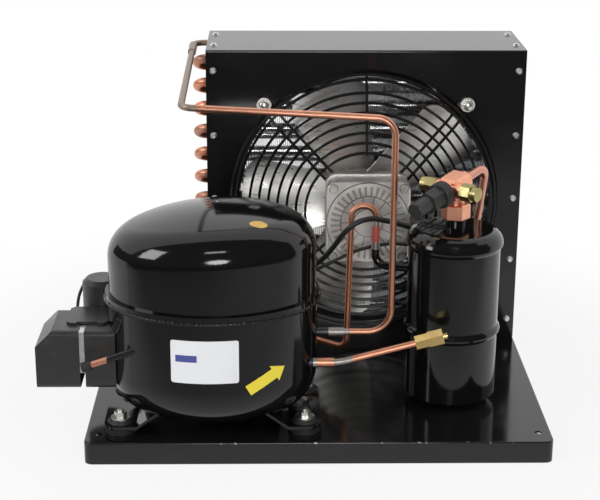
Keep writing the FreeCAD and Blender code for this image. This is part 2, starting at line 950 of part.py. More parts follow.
def fan_blade(angle):
    depth = blade_tip_width
    plan = blade_outline().extrude(up * depth)
    plan.translate(up * (-depth / 2))
    corners = [e for e in plan.Edges
               if e.BoundBox.ZLength > depth / 2 and e.CenterOfMass.x > blade_tip_radius / 2]
    plan = plan.makeFillet(blade_corner, corners)
    centre = Vector(0, 0, -blade_camber_radius)
    skin = Part.makeCylinder(blade_camber_radius + blade_thickness / 2, 2 * blade_tip_radius, centre, right)
    skin = skin.cut(Part.makeCylinder(blade_camber_radius - blade_thickness / 2, 2 * blade_tip_radius,
                                      centre, right))
    above = block((0, -depth, -depth / 2), (2 * blade_tip_radius, depth, depth))
    blade = plan.common(skin).common(above)
    blade.rotate(Vector(0, 0, 0), right, blade_pitch)
    blade.rotate(Vector(0, 0, 0), up, angle)
    return blade


def on_fan_axis(shape):
    """Turns a shape made about +Z so that it lies on the fan's axis."""
    shape.rotate(Vector(0, 0, 0), right, 90)
    shape.translate(Vector(fan_x, blade_middle, fan_z))
    return shape


def fan_blades():
    disc = Part.makeCylinder(hub_radius, hub_thickness, Vector(0, 0, -hub_thickness / 2))
    disc = disc.cut(Part.makeCylinder(hub_boss_radius, hub_boss_length, Vector(0, 0, -hub_boss_length / 2)))
    blades = [fan_blade(blade_first_angle + 360.0 * i / blade_count) for i in range(blade_count)]
    return on_fan_axis(disc.fuse(blades).removeSplitter())


def fan_hub():
    boss = turned([(fan_shaft_radius, -hub_boss_length / 2), (hub_boss_radius, -hub_boss_length / 2),
                   (hub_boss_radius, hub_boss_length / 2), (fan_shaft_radius, hub_boss_length / 2)],
                  Vector(0, 0, 0))
    return on_fan_axis(boss)


# Compressor shell

def oval(half_length, half_width, end_radius, z, height):
    """A prism whose plan is four tangent arcs, standing on z."""
    a = half_length
    b = half_width
    r = end_radius
    side = ((a - r) ** 2 + b ** 2 - r ** 2) / (2 * (b - r))
    end_centre = Vector(a - r, 0, 0)
    side_centre = Vector(0, b - side, 0)
    touch = end_centre + (end_centre - side_centre).normalize() * r
    x = touch.x
    y = touch.y
    edges = [Part.Arc(Vector(x, -y, 0), Vector(a, 0, 0), Vector(x, y, 0)).toShape(),
             Part.Arc(Vector(x, y, 0), Vector(0, b, 0), Vector(-x, y, 0)).toShape(),
             Part.Arc(Vector(-x, y, 0), Vector(-a, 0, 0), Vector(-x, -y, 0)).toShape(),
             Part.Arc(Vector(-x, -y, 0), Vector(0, -b, 0), Vector(x, -y, 0)).toShape()]
    prism = Part.Face(Part.Wire(edges)).extrude(up * height)
    prism.translate(Vector(comp_x, comp_y, z))
    return prism


def shell_prism(inset, low, high):
    """The shell's plan between two heights, drawn in by inset all round."""
    return oval(shell_half_length - inset, shell_half_width - inset, shell_end_radius - inset,
                low, high - low)


def rim_edges(shape, z):
    return [e for e in shape.Edges if abs(e.BoundBox.ZMin - z) < 0.01 and abs(e.BoundBox.ZMax - z) < 0.01]


def lower_outside():
    body = shell_prism(0, shell_bottom, shell_seam)
    return body.makeFillet(shell_shoulder, rim_edges(body, shell_bottom))


def lower_inside():
    low = shell_bottom + shell_wall
    body = shell_prism(shell_wall + upper_shell_inset, low, shell_seam + 1)
    return body.makeChamfer(shell_inner_bevel, rim_edges(body, low))


def crown(radius):
    """A ball whose top gives the upper shell its low dome."""
    return Part.makeSphere(radius, Vector(comp_x + crown_shift, comp_y, shell_top - crown_radius))


def upper_outside():
    body = shell_prism(upper_shell_inset, shell_seam, shell_top).common(crown(crown_radius))
    return body.makeFillet(upper_shoulder, [e for e in body.Edges if e.BoundBox.ZMin > shell_seam + 1])


def upper_inside():
    high = shell_top - shell_wall
    body = shell_prism(shell_wall + upper_shell_inset, shell_seam - 1, high)
    body = body.makeChamfer(upper_inner_bevel, rim_edges(body, high))
    return body.common(crown(crown_radius - shell_wall))


lower_solid = lower_outside()
lower_space = lower_inside()


def weld_flange(low):
    return shell_prism(-flange_reach, low, low + flange_height)


def compressor_shell_lower():
    return lower_solid.fuse(weld_flange(shell_seam - flange_height)).cut(lower_space).removeSplitter()


def compressor_shell_upper():
    return upper_outside().fuse(weld_flange(shell_seam)).cut(upper_inside()).removeSplitter()


foot_low = tray_top + grommet_under
foot_high = foot_low + foot_sheet


def foot(side):
    """A pressed foot that runs under one end of the shell and carries two grommets."""
    bolt_x = foot_spacing_x / 2
    outer = bolt_x + foot_margin
    inner = bolt_x - foot_inner_reach
    knee = bolt_x - foot_margin
    crest = inner + foot_crest
    t = foot_sheet
    profile = [(outer, 0), (outer, t), (knee, t), (crest, t + foot_rise), (inner, t + foot_rise),
               (inner, foot_rise), (crest, foot_rise), (knee, 0)]
    points = [Vector(side * x, 0, z) for x, z in profile]
    length = foot_spacing_y + 2 * foot_margin
    plate = Part.Face(Part.makePolygon(points + [points[0]])).extrude(back * length)
    plate.translate(Vector(comp_x, comp_y - length / 2, foot_low))
    ends = [e for e in plate.Edges if e.BoundBox.ZLength > t / 2 and e.BoundBox.XLength < 0.01
            and abs(abs(e.CenterOfMass.x - comp_x) - outer) < 0.01]
    plate = plate.makeFillet(foot_margin * 0.8, ends)
    for x, y in compressor_bolts_xy():
        plate = hole(plate, Vector(x, y, foot_high), up, grommet_waist, 3 * foot_sheet)
    return plate.cut(lower_solid)


def compressor_feet():
    return group([foot(-1), foot(1)])


def grommets():
    """Rubber mounts that clip through the feet."""
    bore = comp_bolt_radius + grommet_bore_gap
    r = grommet_radius
    low = grommet_under
    high = low + foot_sheet
    top = high + grommet_over
    profile = [(bore, 0), (r, 0), (r, low - grommet_bevel), (r - grommet_bevel, low), (grommet_waist, low),
               (grommet_waist, high), (r - grommet_bevel, high), (r - 2 * grommet_bevel, top), (bore, top)]
    return group([turned(profile, Vector(x, y, tray_top)) for x, y in compressor_bolts_xy()])


bolt_stack = foot_high + grommet_over


def compressor_bolts():
    under = tray_top - tray_sheet
    top = bolt_stack + comp_washer_height + comp_nut_height + comp_bolt_above
    bolts = []
    for x, y in compressor_bolts_xy():
        head = hexagon(comp_bolt_flats, comp_bolt_head, Vector(x, y, under), up * -1)
        shank = rod(Vector(x, y, under), Vector(x, y, top), comp_bolt_radius)
        bolts.append(head.fuse(shank).removeSplitter())
    return group(bolts)


def compressor_nuts():
    nuts = []
    for x, y in compressor_bolts_xy():
        base = Vector(x, y, bolt_stack)
        washer = Part.makeCylinder(comp_washer_radius, comp_washer_height, base)
        nut = hexagon(comp_bolt_flats, comp_nut_height, base + up * comp_washer_height)
        nut = washer.fuse(nut).removeSplitter()
        nuts.append(hole(nut, base, up, comp_bolt_radius, 2 * comp_nut_height))
    return group(nuts)


# Compressor inside

comp_axis = Vector(comp_x, comp_y, 0)
stator_top = comp_stator_low + comp_stator_height
block_low = stator_top + winding_height + winding_gap
block_high = block_low + block_thickness
web_low = block_high + bearing_length
web_high = web_low + crank_web_height
pin_middle = web_high + crank_pin_height / 2
crank_low = comp_stator_low - winding_height


def comp_stator():
    """The laminated stack, round with four flats."""
    ring = Part.makeCylinder(comp_stator_radius, comp_stator_height, comp_axis + up * comp_stator_low)
    f = comp_stator_flat
    square = block((comp_x - f, comp_y - f, comp_stator_low), (comp_x + f, comp_y + f, stator_top))
    return hole(ring.common(square), comp_axis + up * comp_stator_low, up, comp_rotor_radius + air_gap,
                comp_stator_height)


def comp_windings():
    inner = comp_rotor_radius + winding_gap
    rings = []
    for z in (comp_stator_low - winding_height, stator_top):
        rings.append(turned([(inner, z), (winding_radius, z), (winding_radius, z + winding_height),
                             (inner, z + winding_height)], comp_axis))
    return group(rings)


def comp_rotor():
    body = Part.makeCylinder(comp_rotor_radius, comp_stator_height, comp_axis + up * comp_stator_low)
    return hole(body, comp_axis + up * comp_stator_low, up, crank_radius, comp_stator_height)


def crankshaft():
    shaft = rod(comp_axis + up * crank_low, comp_axis + up * web_low, crank_radius)
    web = rod(comp_axis + up * web_low, comp_axis + up * web_high, crank_web_radius)
    pin_axis = comp_axis + back * crank_throw
    pin = rod(pin_axis + up * web_high, pin_axis + up * (web_high + crank_pin_height), crank_pin_radius)
    return shaft.fuse([web, pin]).removeSplitter()


def pump_corners(x, y):
    return [comp_axis + Vector(sx * x, sy * y, 0) for sx in (-1, 1) for sy in (-1, 1)]


def comp_block():
    """The crankcase: a plate on four spacers, with the main bearing and the cylinder."""
    w = block_width / 2
    end = cylinder_start + cylinder_length
    plate = block((comp_x - w, comp_y - w * 0.85, block_low), (comp_x + end, comp_y + w * 0.85, block_high))
    tower_low = stator_top + face_gap
    tower = Part.makeCylinder(bearing_tower_radius, web_low - face_gap - tower_low,
                              comp_axis + up * tower_low)
    start = comp_axis + right * cylinder_start + up * pin_middle
    barrel = Part.makeCylinder(bore_radius + cylinder_wall, cylinder_length, start, right)
    saddle = block((comp_x + cylinder_start, comp_y - bore_radius, block_high),
                   (comp_x + end, comp_y + bore_radius, pin_middle))
    spacers = [rod(p + up * stator_top, p + up * block_low, spacer_radius)
               for p in pump_corners(spring_x, spring_y)]
    body = plate.fuse([tower, barrel, saddle] + spacers).removeSplitter()
    body = hole(body, comp_axis + up * block_low, up, crank_radius + running_gap, bearing_tower_radius * 2)
    bore = Part.makeCylinder(bore_radius, cylinder_length + 2, start - right, right)
    return body.cut(bore).removeSplitter()


piston_middle = cylinder_start + cylinder_length / 2
piston_start = comp_axis + right * (piston_middle - piston_length / 2) + up * pin_middle


def piston():
    """A cup that holds the rod's small end in a slot."""
    body = Part.makeCylinder(bore_radius - piston_gap, piston_length, piston_start, right)
    depth = piston_length * 0.7
    half = bore_radius * 0.6
    slot = block((piston_start.x - 1, comp_y - half, pin_middle - rod_thickness / 2),
                 (piston_start.x + depth, comp_y + half, pin_middle + rod_thickness / 2))
    return body.cut(slot)


def connecting_rod():
    """A rod whose crank end is an open eye, wide enough for the pin in every pair of positions."""
    reach = 2 * crank_throw + crank_pin_radius + open_end_gap
    z = pin_middle - rod_thickness / 2
    eye = Part.makeCylinder(reach + open_end_wall, rod_thickness, comp_axis + up * z)
    bar = block((comp_x + reach, comp_y - rod_width / 2, z),
                (piston_start.x + piston_length * 0.7, comp_y + rod_width / 2, z + rod_thickness))
    return hole(eye.fuse(bar).removeSplitter(), comp_axis + up * z, up, reach, 2 * rod_thickness)


def cylinder_head():
    x = comp_x + cylinder_start + cylinder_length
    w = head_width / 2
    plate = block((x, comp_y - w, pin_middle - w), (x + head_thickness, comp_y + w, pin_middle + w))
    return plate.makeChamfer(head_bevel, [e for e in plate.Edges if e.BoundBox.XLength > head_thickness / 2])


def support_springs():
    """Four springs, as plain sleeves, that carry the stator on the shell's lower bevel."""
    springs = []
    for p in pump_corners(spring_x, spring_y):
        base = p + up * shell_bottom
        sleeve = Part.makeCylinder(spring_radius, comp_stator_low - shell_bottom, base)
        sleeve = hole(sleeve, base, up, spring_radius - spring_wall, comp_stator_low)
        springs.append(sleeve.common(lower_space))
    return group(springs)


# Electrical box

def box_shape(x1, x2, inset, low=box_low):
    """A block of the box between two x, drawn in by inset from its front, back, foot and top."""
    return block((x1, box_front + inset, low + inset), (x2, box_back - inset, box_high - inset))


def shell_clear():
    """The shell's lower half and its flange, with the gap that the box keeps all round."""
    body = shell_prism(-cap_seat_gap, shell_bottom, shell_seam)
    flange = shell_prism(-flange_reach - cap_seat_gap, shell_seam - flange_height, shell_seam + flange_height)
    return body.fuse(flange)


def terminal_base():
    """The inner half, which fits over the shell's end and holds the starter."""
    body = box_shape(box_groove_right, box_right, 0)
    low = [e for e in body.Edges if e.BoundBox.XLength > 1 and e.BoundBox.YLength < 0.01]
    body = body.makeFillet(box_edge, low)
    waist = box_shape(box_groove_left, box_groove_right + 1, box_groove_depth, box_low + box_open_foot)
    space = box_shape(box_groove_right + box_wall, box_right + 1, box_wall)
    return body.fuse(waist).cut([space, shell_clear()]).removeSplitter()


def terminal_cover():
    """The outer half, with a long bevel down its outer top edge."""
    body = box_shape(box_left, box_groove_left, 0)
    body = body.makeChamfer(box_bevel, outer_top_edge(body))
    sides = [e for e in body.Edges if e.BoundBox.XLength > box_bevel and e.BoundBox.YLength < 0.01]
    body = body.makeFillet(box_edge, sides)
    space = box_shape(box_left + box_wall, box_groove_left + 1, box_wall)
    return body.cut(space.makeChamfer(box_bevel, outer_top_edge(space)))


def outer_top_edge(body):
    """The edge of a block that runs along Y at its left and top."""
    low_x = body.BoundBox.XMin
    top_z = body.BoundBox.ZMax
    return [e for e in body.Edges if e.BoundBox.YLength > 1 and abs(e.CenterOfMass.x - low_x) < 0.01
            and abs(e.CenterOfMass.z - top_z) < 0.01]


def cover_strap():
    """A metal band over the waist between the halves."""
    middle = (box_groove_left + box_groove_right) / 2
    x1 = middle - strap_width / 2
    x2 = middle + strap_width / 2
    low = box_low + box_open_foot
    outer = box_shape(x1, x2, box_groove_depth - strap_thickness, low + strap_thickness)
    return outer.cut(box_shape(x1 - 1, x2 + 1, box_groove_depth, low - box_groove_depth))


def starter_lid():
    """The slotted plate on top of the box."""
    x = lid_length / 2
    y = lid_width / 2
    top = box_high + lid_thickness
    lid = block((lid_x - x, lid_y - y, box_high), (lid_x + x, lid_y + y, top))
    lid = lid.makeChamfer(lid_bevel, [e for e in lid.Edges if e.BoundBox.ZLength > lid_thickness / 2])
    slot = block((lid_x - x / 2, lid_y - y - 1, box_high - 1),
                 (lid_x + x / 2, lid_y - y + lid_slot_depth, top + 1))
    return lid.cut([slot, shell_clear()])


capacitor_y = box_back + cap_seat_gap + capacitor_radius


def can_boss(turn, dip, drop, length, lead_radius):
    """The outer end of a boss on the can's side, the way its lead leaves and its radius."""
    out = Vector(math.cos(math.radians(turn)), math.sin(math.radians(turn)), 0)
    tip = Vector(capacitor_x, capacitor_y, capacitor_top - drop) + out * (capacitor_radius + length)
    way = out * math.cos(math.radians(dip)) - up * math.sin(math.radians(dip))
    return tip, way, lead_radius + boss_wall


fan_boss = can_boss(boss_turn, 0, fan_boss_drop, boss_length, fan_lead_radius)
earth_boss = can_boss(boss_turn, 0, earth_boss_drop, boss_length, earth_lead_radius)
loop_boss = can_boss(loop_turn, loop_dip, loop_boss_drop, loop_boss_length, capacitor_lead_radius)
lead_bosses = [fan_boss, earth_boss, loop_boss]


def start_capacitor():
    """The can behind the box, with a boss for each lead."""
    r = capacitor_radius
    height = capacitor_top - box_low
    can = turned([(0, 0), (r, 0), (r, height - capacitor_bevel), (r - capacitor_bevel, height), (0, height)],
                 Vector(capacitor_x, capacitor_y, box_low))
    bosses = [rod(tip - way * (boss_length + radius), tip, radius) for tip, way, radius in lead_bosses]
    return can.fuse(bosses).removeSplitter().cut(shell_clear())


def terminal_pins():
    """The sealed plug with three pins in the shell's left end, inside the box."""
    start = Vector(comp_x - shell_half_length - terminal_disc_proud, comp_y, terminal_z)
    disc = rod(start, start + right * shell_wall * 4, terminal_disc_radius).cut(lower_solid)
    pins = []
    for i in range(3):
        angle = math.radians(90 + 120 * i)
        p = start + Vector(0, terminal_pin_circle * math.cos(angle), terminal_pin_circle * math.sin(angle))
        pins.append(rod(p - right * terminal_pin_length, p, terminal_pin_radius))
    return disc.fuse(pins).removeSplitter()


# Pipes

def shell_stubs():
    """The two steel stubs brazed into the shell's right end."""
    stubs = []
    root = comp_x + shell_end_radius
    for y, z, end in ((discharge_y, discharge_z, discharge_stub_end),
                      (suction_y, suction_z, suction_stub_end)):
        stubs.append(rod(Vector(root, y, z), Vector(end, y, z), stub_radius).cut(lower_solid))
    return group(stubs)


inlet_y, inlet_z = tube_centre(1, 0)
outlet_y, outlet_z = tube_centre(0, tube_levels - 1)


def discharge_line():
    """From the compressor up, over to the left and back into the coil's top tube."""
    y = discharge_y
    start = Vector(discharge_stub_end, y, discharge_z)
    corner = Vector(coil_run_x, discharge_left_y, discharge_left_z)
    turn_in = Vector(coil_run_x, inlet_y, inlet_z)
    points = [start, Vector(discharge_x, y, discharge_z), Vector(discharge_x, y, discharge_top),
              corner, turn_in, Vector(coil_left, inlet_y, inlet_z)]
    line = pipe(points, line_radius, [first_bend, line_bend, small_bend, small_bend])
    low_sleeve = rod(start, Vector(discharge_sleeve_end, y, discharge_z), sleeve_radius)
    way = (corner - turn_in).normalize()
    top_sleeve = rod(turn_in + way * small_bend, turn_in + way * (small_bend + inlet_sleeve_length),
                     sleeve_radius)
    return line.fuse([low_sleeve, top_sleeve]).removeSplitter()


def liquid_line():
    """From the coil's lowest tube, behind the compressor, up and over into the receiver's inlet."""
    low = liquid_low_z
    over = (liquid_down_x - liquid_top_x) / 2 - 0.5
    points = [Vector(coil_left, outlet_y, outlet_z), Vector(coil_run_x, outlet_y, outlet_z),
              Vector(coil_run_x, liquid_turn_y, liquid_turn_z), Vector(liquid_rear_left, liquid_rear_y, low),
              Vector(liquid_rear_right, liquid_rear_y, low), Vector(liquid_front_x, liquid_front_y, low),
              Vector(liquid_top_x, liquid_front_y, liquid_apex_z),
              Vector(liquid_down_x, liquid_front_y, liquid_apex_z),
              Vector(liquid_down_x, liquid_front_y, inlet_stub_top)]
    bends = [small_bend, line_bend, line_bend, line_bend, small_bend, over, over]
    line = pipe(points, liquid_line_radius, bends)
    collar = rod(points[-1], Vector(liquid_down_x, liquid_front_y, liquid_collar_z), inlet_stub_radius)
    return line.fuse(collar).removeSplitter()


def suction_line():
    start = Vector(suction_stub_end, suction_y, suction_z)
    line = pipe([start, suction_corner, fitting_start], line_radius, suction_bend)
    sleeve = rod(start, Vector(suction_sleeve_end, suction_y, suction_z), sleeve_radius)
    return line.fuse(sleeve).removeSplitter()


suction_corner = Vector(suction_corner_x, suction_y, suction_z)
fitting_start = Vector(suction_end_x, suction_y, suction_end_z)
fitting_way = (fitting_start - suction_corner).normalize()


def suction_nut():
    """A flare nut, pushed over the line's end."""
    back_end = fitting_start - fitting_way * fitting_overlap
    nut = hexagon(fitting_flats, fitting_nut_length, back_end, fitting_way)
    return nut.cut(rod(back_end - fitting_way, fitting_start, line_radius))


def suction_union():
    """The union for the evaporator's suction pipe, closed by its plug."""
    base = fitting_start + fitting_way * (fitting_nut_length - fitting_overlap)
    end = base + fitting_way * fitting_body_length
    body = hexagon(fitting_body_flats, fitting_body_length, base, fitting_way)
    return body.fuse(rod(end, end + fitting_way * fitting_tip_length, fitting_tip_radius)).removeSplitter()


process_root = Vector(process_root_x, process_root_y, process_root_z)
process_end = Vector(process_end_x, process_root_y, process_end_z)
process_way = (process_end - process_root).normalize()


def process_tube():
    """The charging stub on the shell's front left."""
    inward = process_root + Vector(shell_wall * 4, process_depth, shell_wall)
    return pipe([inward, process_root, process_end], line_radius, process_bend).cut(lower_solid)


def process_cap():
    return rod(process_end, process_end + process_way * process_cap_length, process_cap_radius)


# Receiver

receiver_centre = Vector(receiver_x, receiver_y, 0)


def bead(low, high):
    """A rolled bead around the vessel between two heights."""
    bulge = bead_radius - receiver_radius
    steps = [i / bead_steps for i in range(bead_steps + 1)]
    return [(receiver_radius + bulge * math.sin(math.pi * t), low + (high - low) * t) for t in steps]


def shoulder():
    """The rolled shoulder, from its widest part to the flat of the end."""
    angles = [math.pi / 2 * i / shoulder_steps for i in range(shoulder_steps + 1)]
    return [(bead_radius + shoulder_radius * (math.cos(a) - 1),
             receiver_shoulder + shoulder_radius * (math.sin(a) - 1)) for a in angles]


def receiver_outline():
    r = receiver_radius
    b = receiver_bottom
    widest = receiver_shoulder - shoulder_radius
    rise = bead(widest - top_bead_rise, widest + top_bead_rise)[:bead_steps // 2]
    return [(0, b), (r - receiver_bottom_bevel, b), (r, b + receiver_bottom_bevel)] \
        + bead(low_bead - low_bead_half, low_bead + low_bead_half) + rise + shoulder() \
        + [(neck_radius, receiver_shoulder + crown_rise), (neck_radius, neck_top), (0, neck_top)]


def receiver_hollow():
    r = receiver_radius - receiver_wall
    b = receiver_bottom + receiver_wall
    c = receiver_bottom_bevel
    top = receiver_shoulder - 2 * receiver_wall
    return [(0, b), (r - c, b), (r, b + c), (r, top - 2 * c), (r - 2 * c, top), (0, top)]


def receiver_stub():
    """The steel inlet that leaves the vessel's side and turns up to the liquid line."""
    low = inlet_stub_top - inlet_stub_rise
    points = [Vector(liquid_down_x, liquid_front_y, inlet_stub_top),
              Vector(liquid_down_x, liquid_front_y, low), Vector(receiver_x, receiver_y, low)]
    return pipe(points, inlet_stub_radius, small_bend)


def receiver_body():
    vessel = turned(receiver_outline(), receiver_centre)
    vessel = vessel.fuse(receiver_stub()).removeSplitter()
    return vessel.cut(turned(receiver_hollow(), receiver_centre)).removeSplitter()


def receiver_foot():
    """A welded ring under the receiver that stands on the tray."""
    inner = foot_ring_radius - foot_ring_wall
    outer = foot_ring_radius + foot_ring_wall
    return turned([(inner, tray_top), (outer, tray_top), (foot_ring_radius, receiver_bottom),
                   (inner, receiver_bottom)], receiver_centre)


turn = math.radians(valve_turn)
tilt = math.radians(valve_tilt)
stem_way = Vector(math.cos(turn) * math.cos(tilt), math.sin(turn) * math.cos(tilt), -math.sin(tilt))
port_way = Vector(-math.sin(turn), math.cos(turn), 0)
stem_up = stem_way.cross(port_way)
valve_centre = Vector(receiver_x, receiver_y, valve_axis_z)
port_centre = valve_centre + stem_way * port_offset


def receiver_nut():
    nut = hexagon(nut_flats, nut_height, Vector(receiver_x, receiver_y, neck_top))
    nut.rotate(Vector(receiver_x, receiver_y, neck_top), up, nut_turn)
    return nut.makeChamfer(nut_bevel, [e for e in nut.Edges if e.BoundBox.ZLength < 0.01])


def along_stem(shape):
    """Turns a shape made about +X and +Z to the stem's direction, at the valve's centre."""
    turned_up = FreeCAD.Rotation(stem_way, port_way, stem_up, "XYZ")
    shape.Placement = FreeCAD.Placement(valve_centre, turned_up)
    return shape


def valve_body():
    """A forged cross: down to the receiver, out to the stem, the outlet and two side ports."""
    base = Vector(receiver_x, receiver_y, neck_top + nut_height)
    neck = rod(base, valve_centre, valve_neck_radius)
    arm = rod(valve_centre - stem_way * valve_arm_half, valve_centre + stem_way * stem_arm, valve_arm_radius)
    h = valve_block_half
    core = block((-h, -h, -h), (h + valve_block_reach, h, h))
    core = along_stem(core.makeChamfer(valve_block_bevel, core.Edges))
    arms = [neck, arm, core]
    for side in (-1, 1):
        shoulder = port_centre + port_way * (side * valve_arm_half)
        arms.append(rod(port_centre, shoulder, port_arm_radius))
        arms.append(rod(port_centre, shoulder + port_way * (side * port_nipple_length), port_nipple_radius))
    body = arms[0].fuse(arms[1:]).removeSplitter()
    bore_start = valve_centre + stem_way * (stem_start - face_gap)
    return body.cut(rod(bore_start, valve_centre + stem_way * (stem_arm + 1), valve_bore_radius))


def valve_stem():
    """The turning stem, with a square end for the key."""
    start = valve_centre + stem_way * stem_start
    shoulder = valve_centre + stem_way * (stem_arm + stem_proud)
    h = stem_square / 2
    key = placed(block((-h, -h, -1), (h, h, stem_end - stem_arm - stem_proud)), shoulder, stem_way)
    return rod(start, shoulder, stem_radius).fuse(key).removeSplitter()


def stem_cap():
    """The plastic cap over the stem: a knurled collar, a hexagon, a round nose and a hollow inside."""
    start = valve_centre + stem_way * (stem_arm + cap_seat_gap)
    c = cap_collar_radius
    n = cap_nose_radius
    e = cap_edge
    collar = turned([(0, 0), (c - e / 2, 0), (c, e / 2), (c, cap_collar_length - e),
                     (c - e, cap_collar_length), (0, cap_collar_length)], start, stem_way)
    nose = turned([(0, 0), (n, 0), (n, cap_length - e), (n - e, cap_length), (0, cap_length)],
                  start, stem_way)
    cap = collar.fuse([hexagon(cap_hex_flats, cap_hex_end, start, stem_way), nose]).removeSplitter()
    hollow_end = start + stem_way * (stem_end - stem_arm + stem_proud)
    cutters = [rod(start - stem_way, hollow_end, cap_cavity_radius)]
    for i in range(cap_flutes):
        angle = 2 * math.pi * i / cap_flutes
        spot = start + (port_way * math.cos(angle) + stem_up * math.sin(angle)) * (c + cap_flute_radius / 2)
        cutters.append(rod(spot - stem_way, spot + stem_way * (cap_collar_length + 1), cap_flute_radius))
    return cap.cut(cutters)


def port_cap(side):
    """A brass cap screwed on a side port: a hexagon with a round nose."""
    way = port_way * side
    start = port_centre + way * (valve_arm_half + cap_seat_gap)
    cap = hexagon(2 * port_cap_radius, port_cap_hex, start, way)
    cap = cap.fuse(rod(start, start + way * port_cap_length, port_nose_radius)).removeSplitter()
    inside = start + way * (port_nipple_length + 1)
    return cap.cut(rod(start - way, inside, port_nipple_radius + cap_seat_gap))


def port_caps():
    return group([port_cap(-1), port_cap(1)])


def outlet_pipe():
    """The liquid outlet: out of the valve's back, over and down behind the receiver."""
    start = valve_centre - stem_way * valve_arm_half
    over = start - stem_way * outlet_run
    low = Vector(over.x + outlet_lean_x, over.y + outlet_lean_y, outlet_low)
    return pipe([start, over, low], outlet_radius, small_bend)


# Leads between the fan motor and the electrical box

fan_lead_route = [(122, 21, 156), (130, 13, 158), (134, 3, 160), (133, -8, 162), (129, -18, 165),
                  (120, -27, 169), (108, -34, 174), (95, -42, 180), (80, -50, 187), (66, -58, 193),
                  (53, -63, 197), (41, -67, 196), (31, -68, 190), (23, -65, 180), (16, -59, 167),
                  (7, -51, 153), (-12, -41, 134), (-48, -33, 122), (-98, -30, 119), (-142, -32, 121),
                  (-168, -37, 124)]
earth_lead_route = [(119, 22, 142), (125, 15, 143), (127, 6, 145), (126, -3, 147), (120, -10, 149),
                    (111, -15, 152), (100, -18, 154), (84, -19, 157), (62, -21, 157), (38, -24, 151),
                    (14, -28, 140), (-16, -27, 125), (-55, -23, 113), (-100, -21, 108),
                    (-142, -24, 107), (-168, -34, 108)]
capacitor_lead_route = [(-225, -50, 128), (-230, -55, 118), (-231, -63, 110), (-230, -75, 103)]
lead_exit = 11.0
small_exit = 9.0


def lead(start, start_way, route, end, end_way, radius, straight):
    """A lead through hand-placed points, straight where it leaves its ends, with wide arcs between."""
    points = [start, start + start_way * straight]
    points += [Vector(*p) for p in route]
    points += [end + end_way * straight, end]
    radii = []
    for before, here, after in zip(points, points[1:], points[2:]):
        a = before - here
        b = after - here
        bend = math.pi - a.getAngle(b)
        radii.append(0.45 * min(a.Length, b.Length) / math.tan(bend / 2))
    return pipe(points, radius, radii)


def fan_lead():
    gland, out = motor_glands[0][:2]
    return lead(gland, out, fan_lead_route, fan_boss[0], fan_boss[1], fan_lead_radius, lead_exit)


def earth_lead():
    gland, out = motor_glands[1][:2]
    return lead(gland, out, earth_lead_route, earth_boss[0], earth_boss[1], earth_lead_radius, lead_exit)


def capacitor_lead():
    """A short loop from the can to the box's back."""
    end = Vector(capacitor_lead_x, box_back, box_high - capacitor_lead_entry)
    return lead(loop_boss[0], loop_boss[1], capacitor_lead_route, end, back, capacitor_lead_radius,
                small_exit)


makers = [base_tray, fan_shroud, side_panel_left, side_panel_right, tube_plate, shroud_screws,
          condenser_fins, condenser_tubes, return_bends, fan_guard, guard_bolts, fan_motor_cover,
          fan_motor_body, fan_bearings, fan_motor_stator, fan_motor_rotor, fan_shaft, fan_motor_screws,
          fan_blades, fan_hub, compressor_shell_lower, compressor_shell_upper, compressor_feet,
          grommets, compressor_bolts, compressor_nuts, comp_stator, comp_windings, comp_rotor,
          crankshaft, comp_block, piston, connecting_rod, cylinder_head, support_springs, terminal_base,
          terminal_cover, cover_strap, starter_lid, start_capacitor, terminal_pins, shell_stubs,
          discharge_line, liquid_line, suction_line, suction_nut, suction_union, process_tube,
          process_cap, receiver_body, receiver_foot, receiver_nut, valve_body, valve_stem, stem_cap,
          port_caps, outlet_pipe, fan_lead, earth_lead, capacitor_lead]

os.makedirs("parts", exist_ok=True)
for maker in makers:
    maker().exportStep("parts/" + maker.__name__ + ".step")
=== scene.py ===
import math

import bmesh
import bpy
from mathutils import Matrix, Vector
from mathutils.bvhtree import BVHTree


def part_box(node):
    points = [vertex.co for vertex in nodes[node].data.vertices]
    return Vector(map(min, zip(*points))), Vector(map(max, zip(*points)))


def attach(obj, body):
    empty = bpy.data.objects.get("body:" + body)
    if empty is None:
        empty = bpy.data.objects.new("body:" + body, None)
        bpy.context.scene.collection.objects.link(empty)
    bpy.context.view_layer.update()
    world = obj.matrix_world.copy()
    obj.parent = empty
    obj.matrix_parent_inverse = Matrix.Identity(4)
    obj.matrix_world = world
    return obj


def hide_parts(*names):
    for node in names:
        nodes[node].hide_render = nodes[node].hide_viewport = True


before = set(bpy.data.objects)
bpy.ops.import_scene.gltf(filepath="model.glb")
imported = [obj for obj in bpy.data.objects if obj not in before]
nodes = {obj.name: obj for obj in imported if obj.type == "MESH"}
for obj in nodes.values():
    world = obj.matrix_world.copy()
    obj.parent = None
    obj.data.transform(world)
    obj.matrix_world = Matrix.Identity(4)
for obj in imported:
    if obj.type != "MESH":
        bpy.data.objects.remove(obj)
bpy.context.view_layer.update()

scene = bpy.context.scene
scene.view_settings.view_transform = "Standard"
MM = 0.001

# Camera, in metres and degrees, with the lens and the sensor in millimetres
camera_place = Vector((-0.0414, -1.4291, 0.6256))
camera_pitch = math.radians(18.62)
camera_yaw = math.radians(1.05)
camera_roll = math.radians(-0.25)
camera_lens = 90.415
camera_sensor = 36.0

# Studio, in metres: the floor gives no light of its own under the tray
under_tray_x = 0.212
under_tray_y = 0.182
under_tray_soft = 0.004
floor_front = -2.6
floor_side = 3.4
floor_back = 1.5
room_front = -2.6
room_back = -0.40
room_side = 3.4
room_side_back = -0.3
room_height = 2.4
room_light = 0.08
world_tone = (0.42, 0.42, 0.43)
low_wall_back = 2.5
low_wall_height = 1.1
floor_drop = 0.5 * MM

# Light of the floor by place, in metres: the camera sees a little less of it near the object
glow_rise = (0.28, 0.60)
glow_near = 0.86
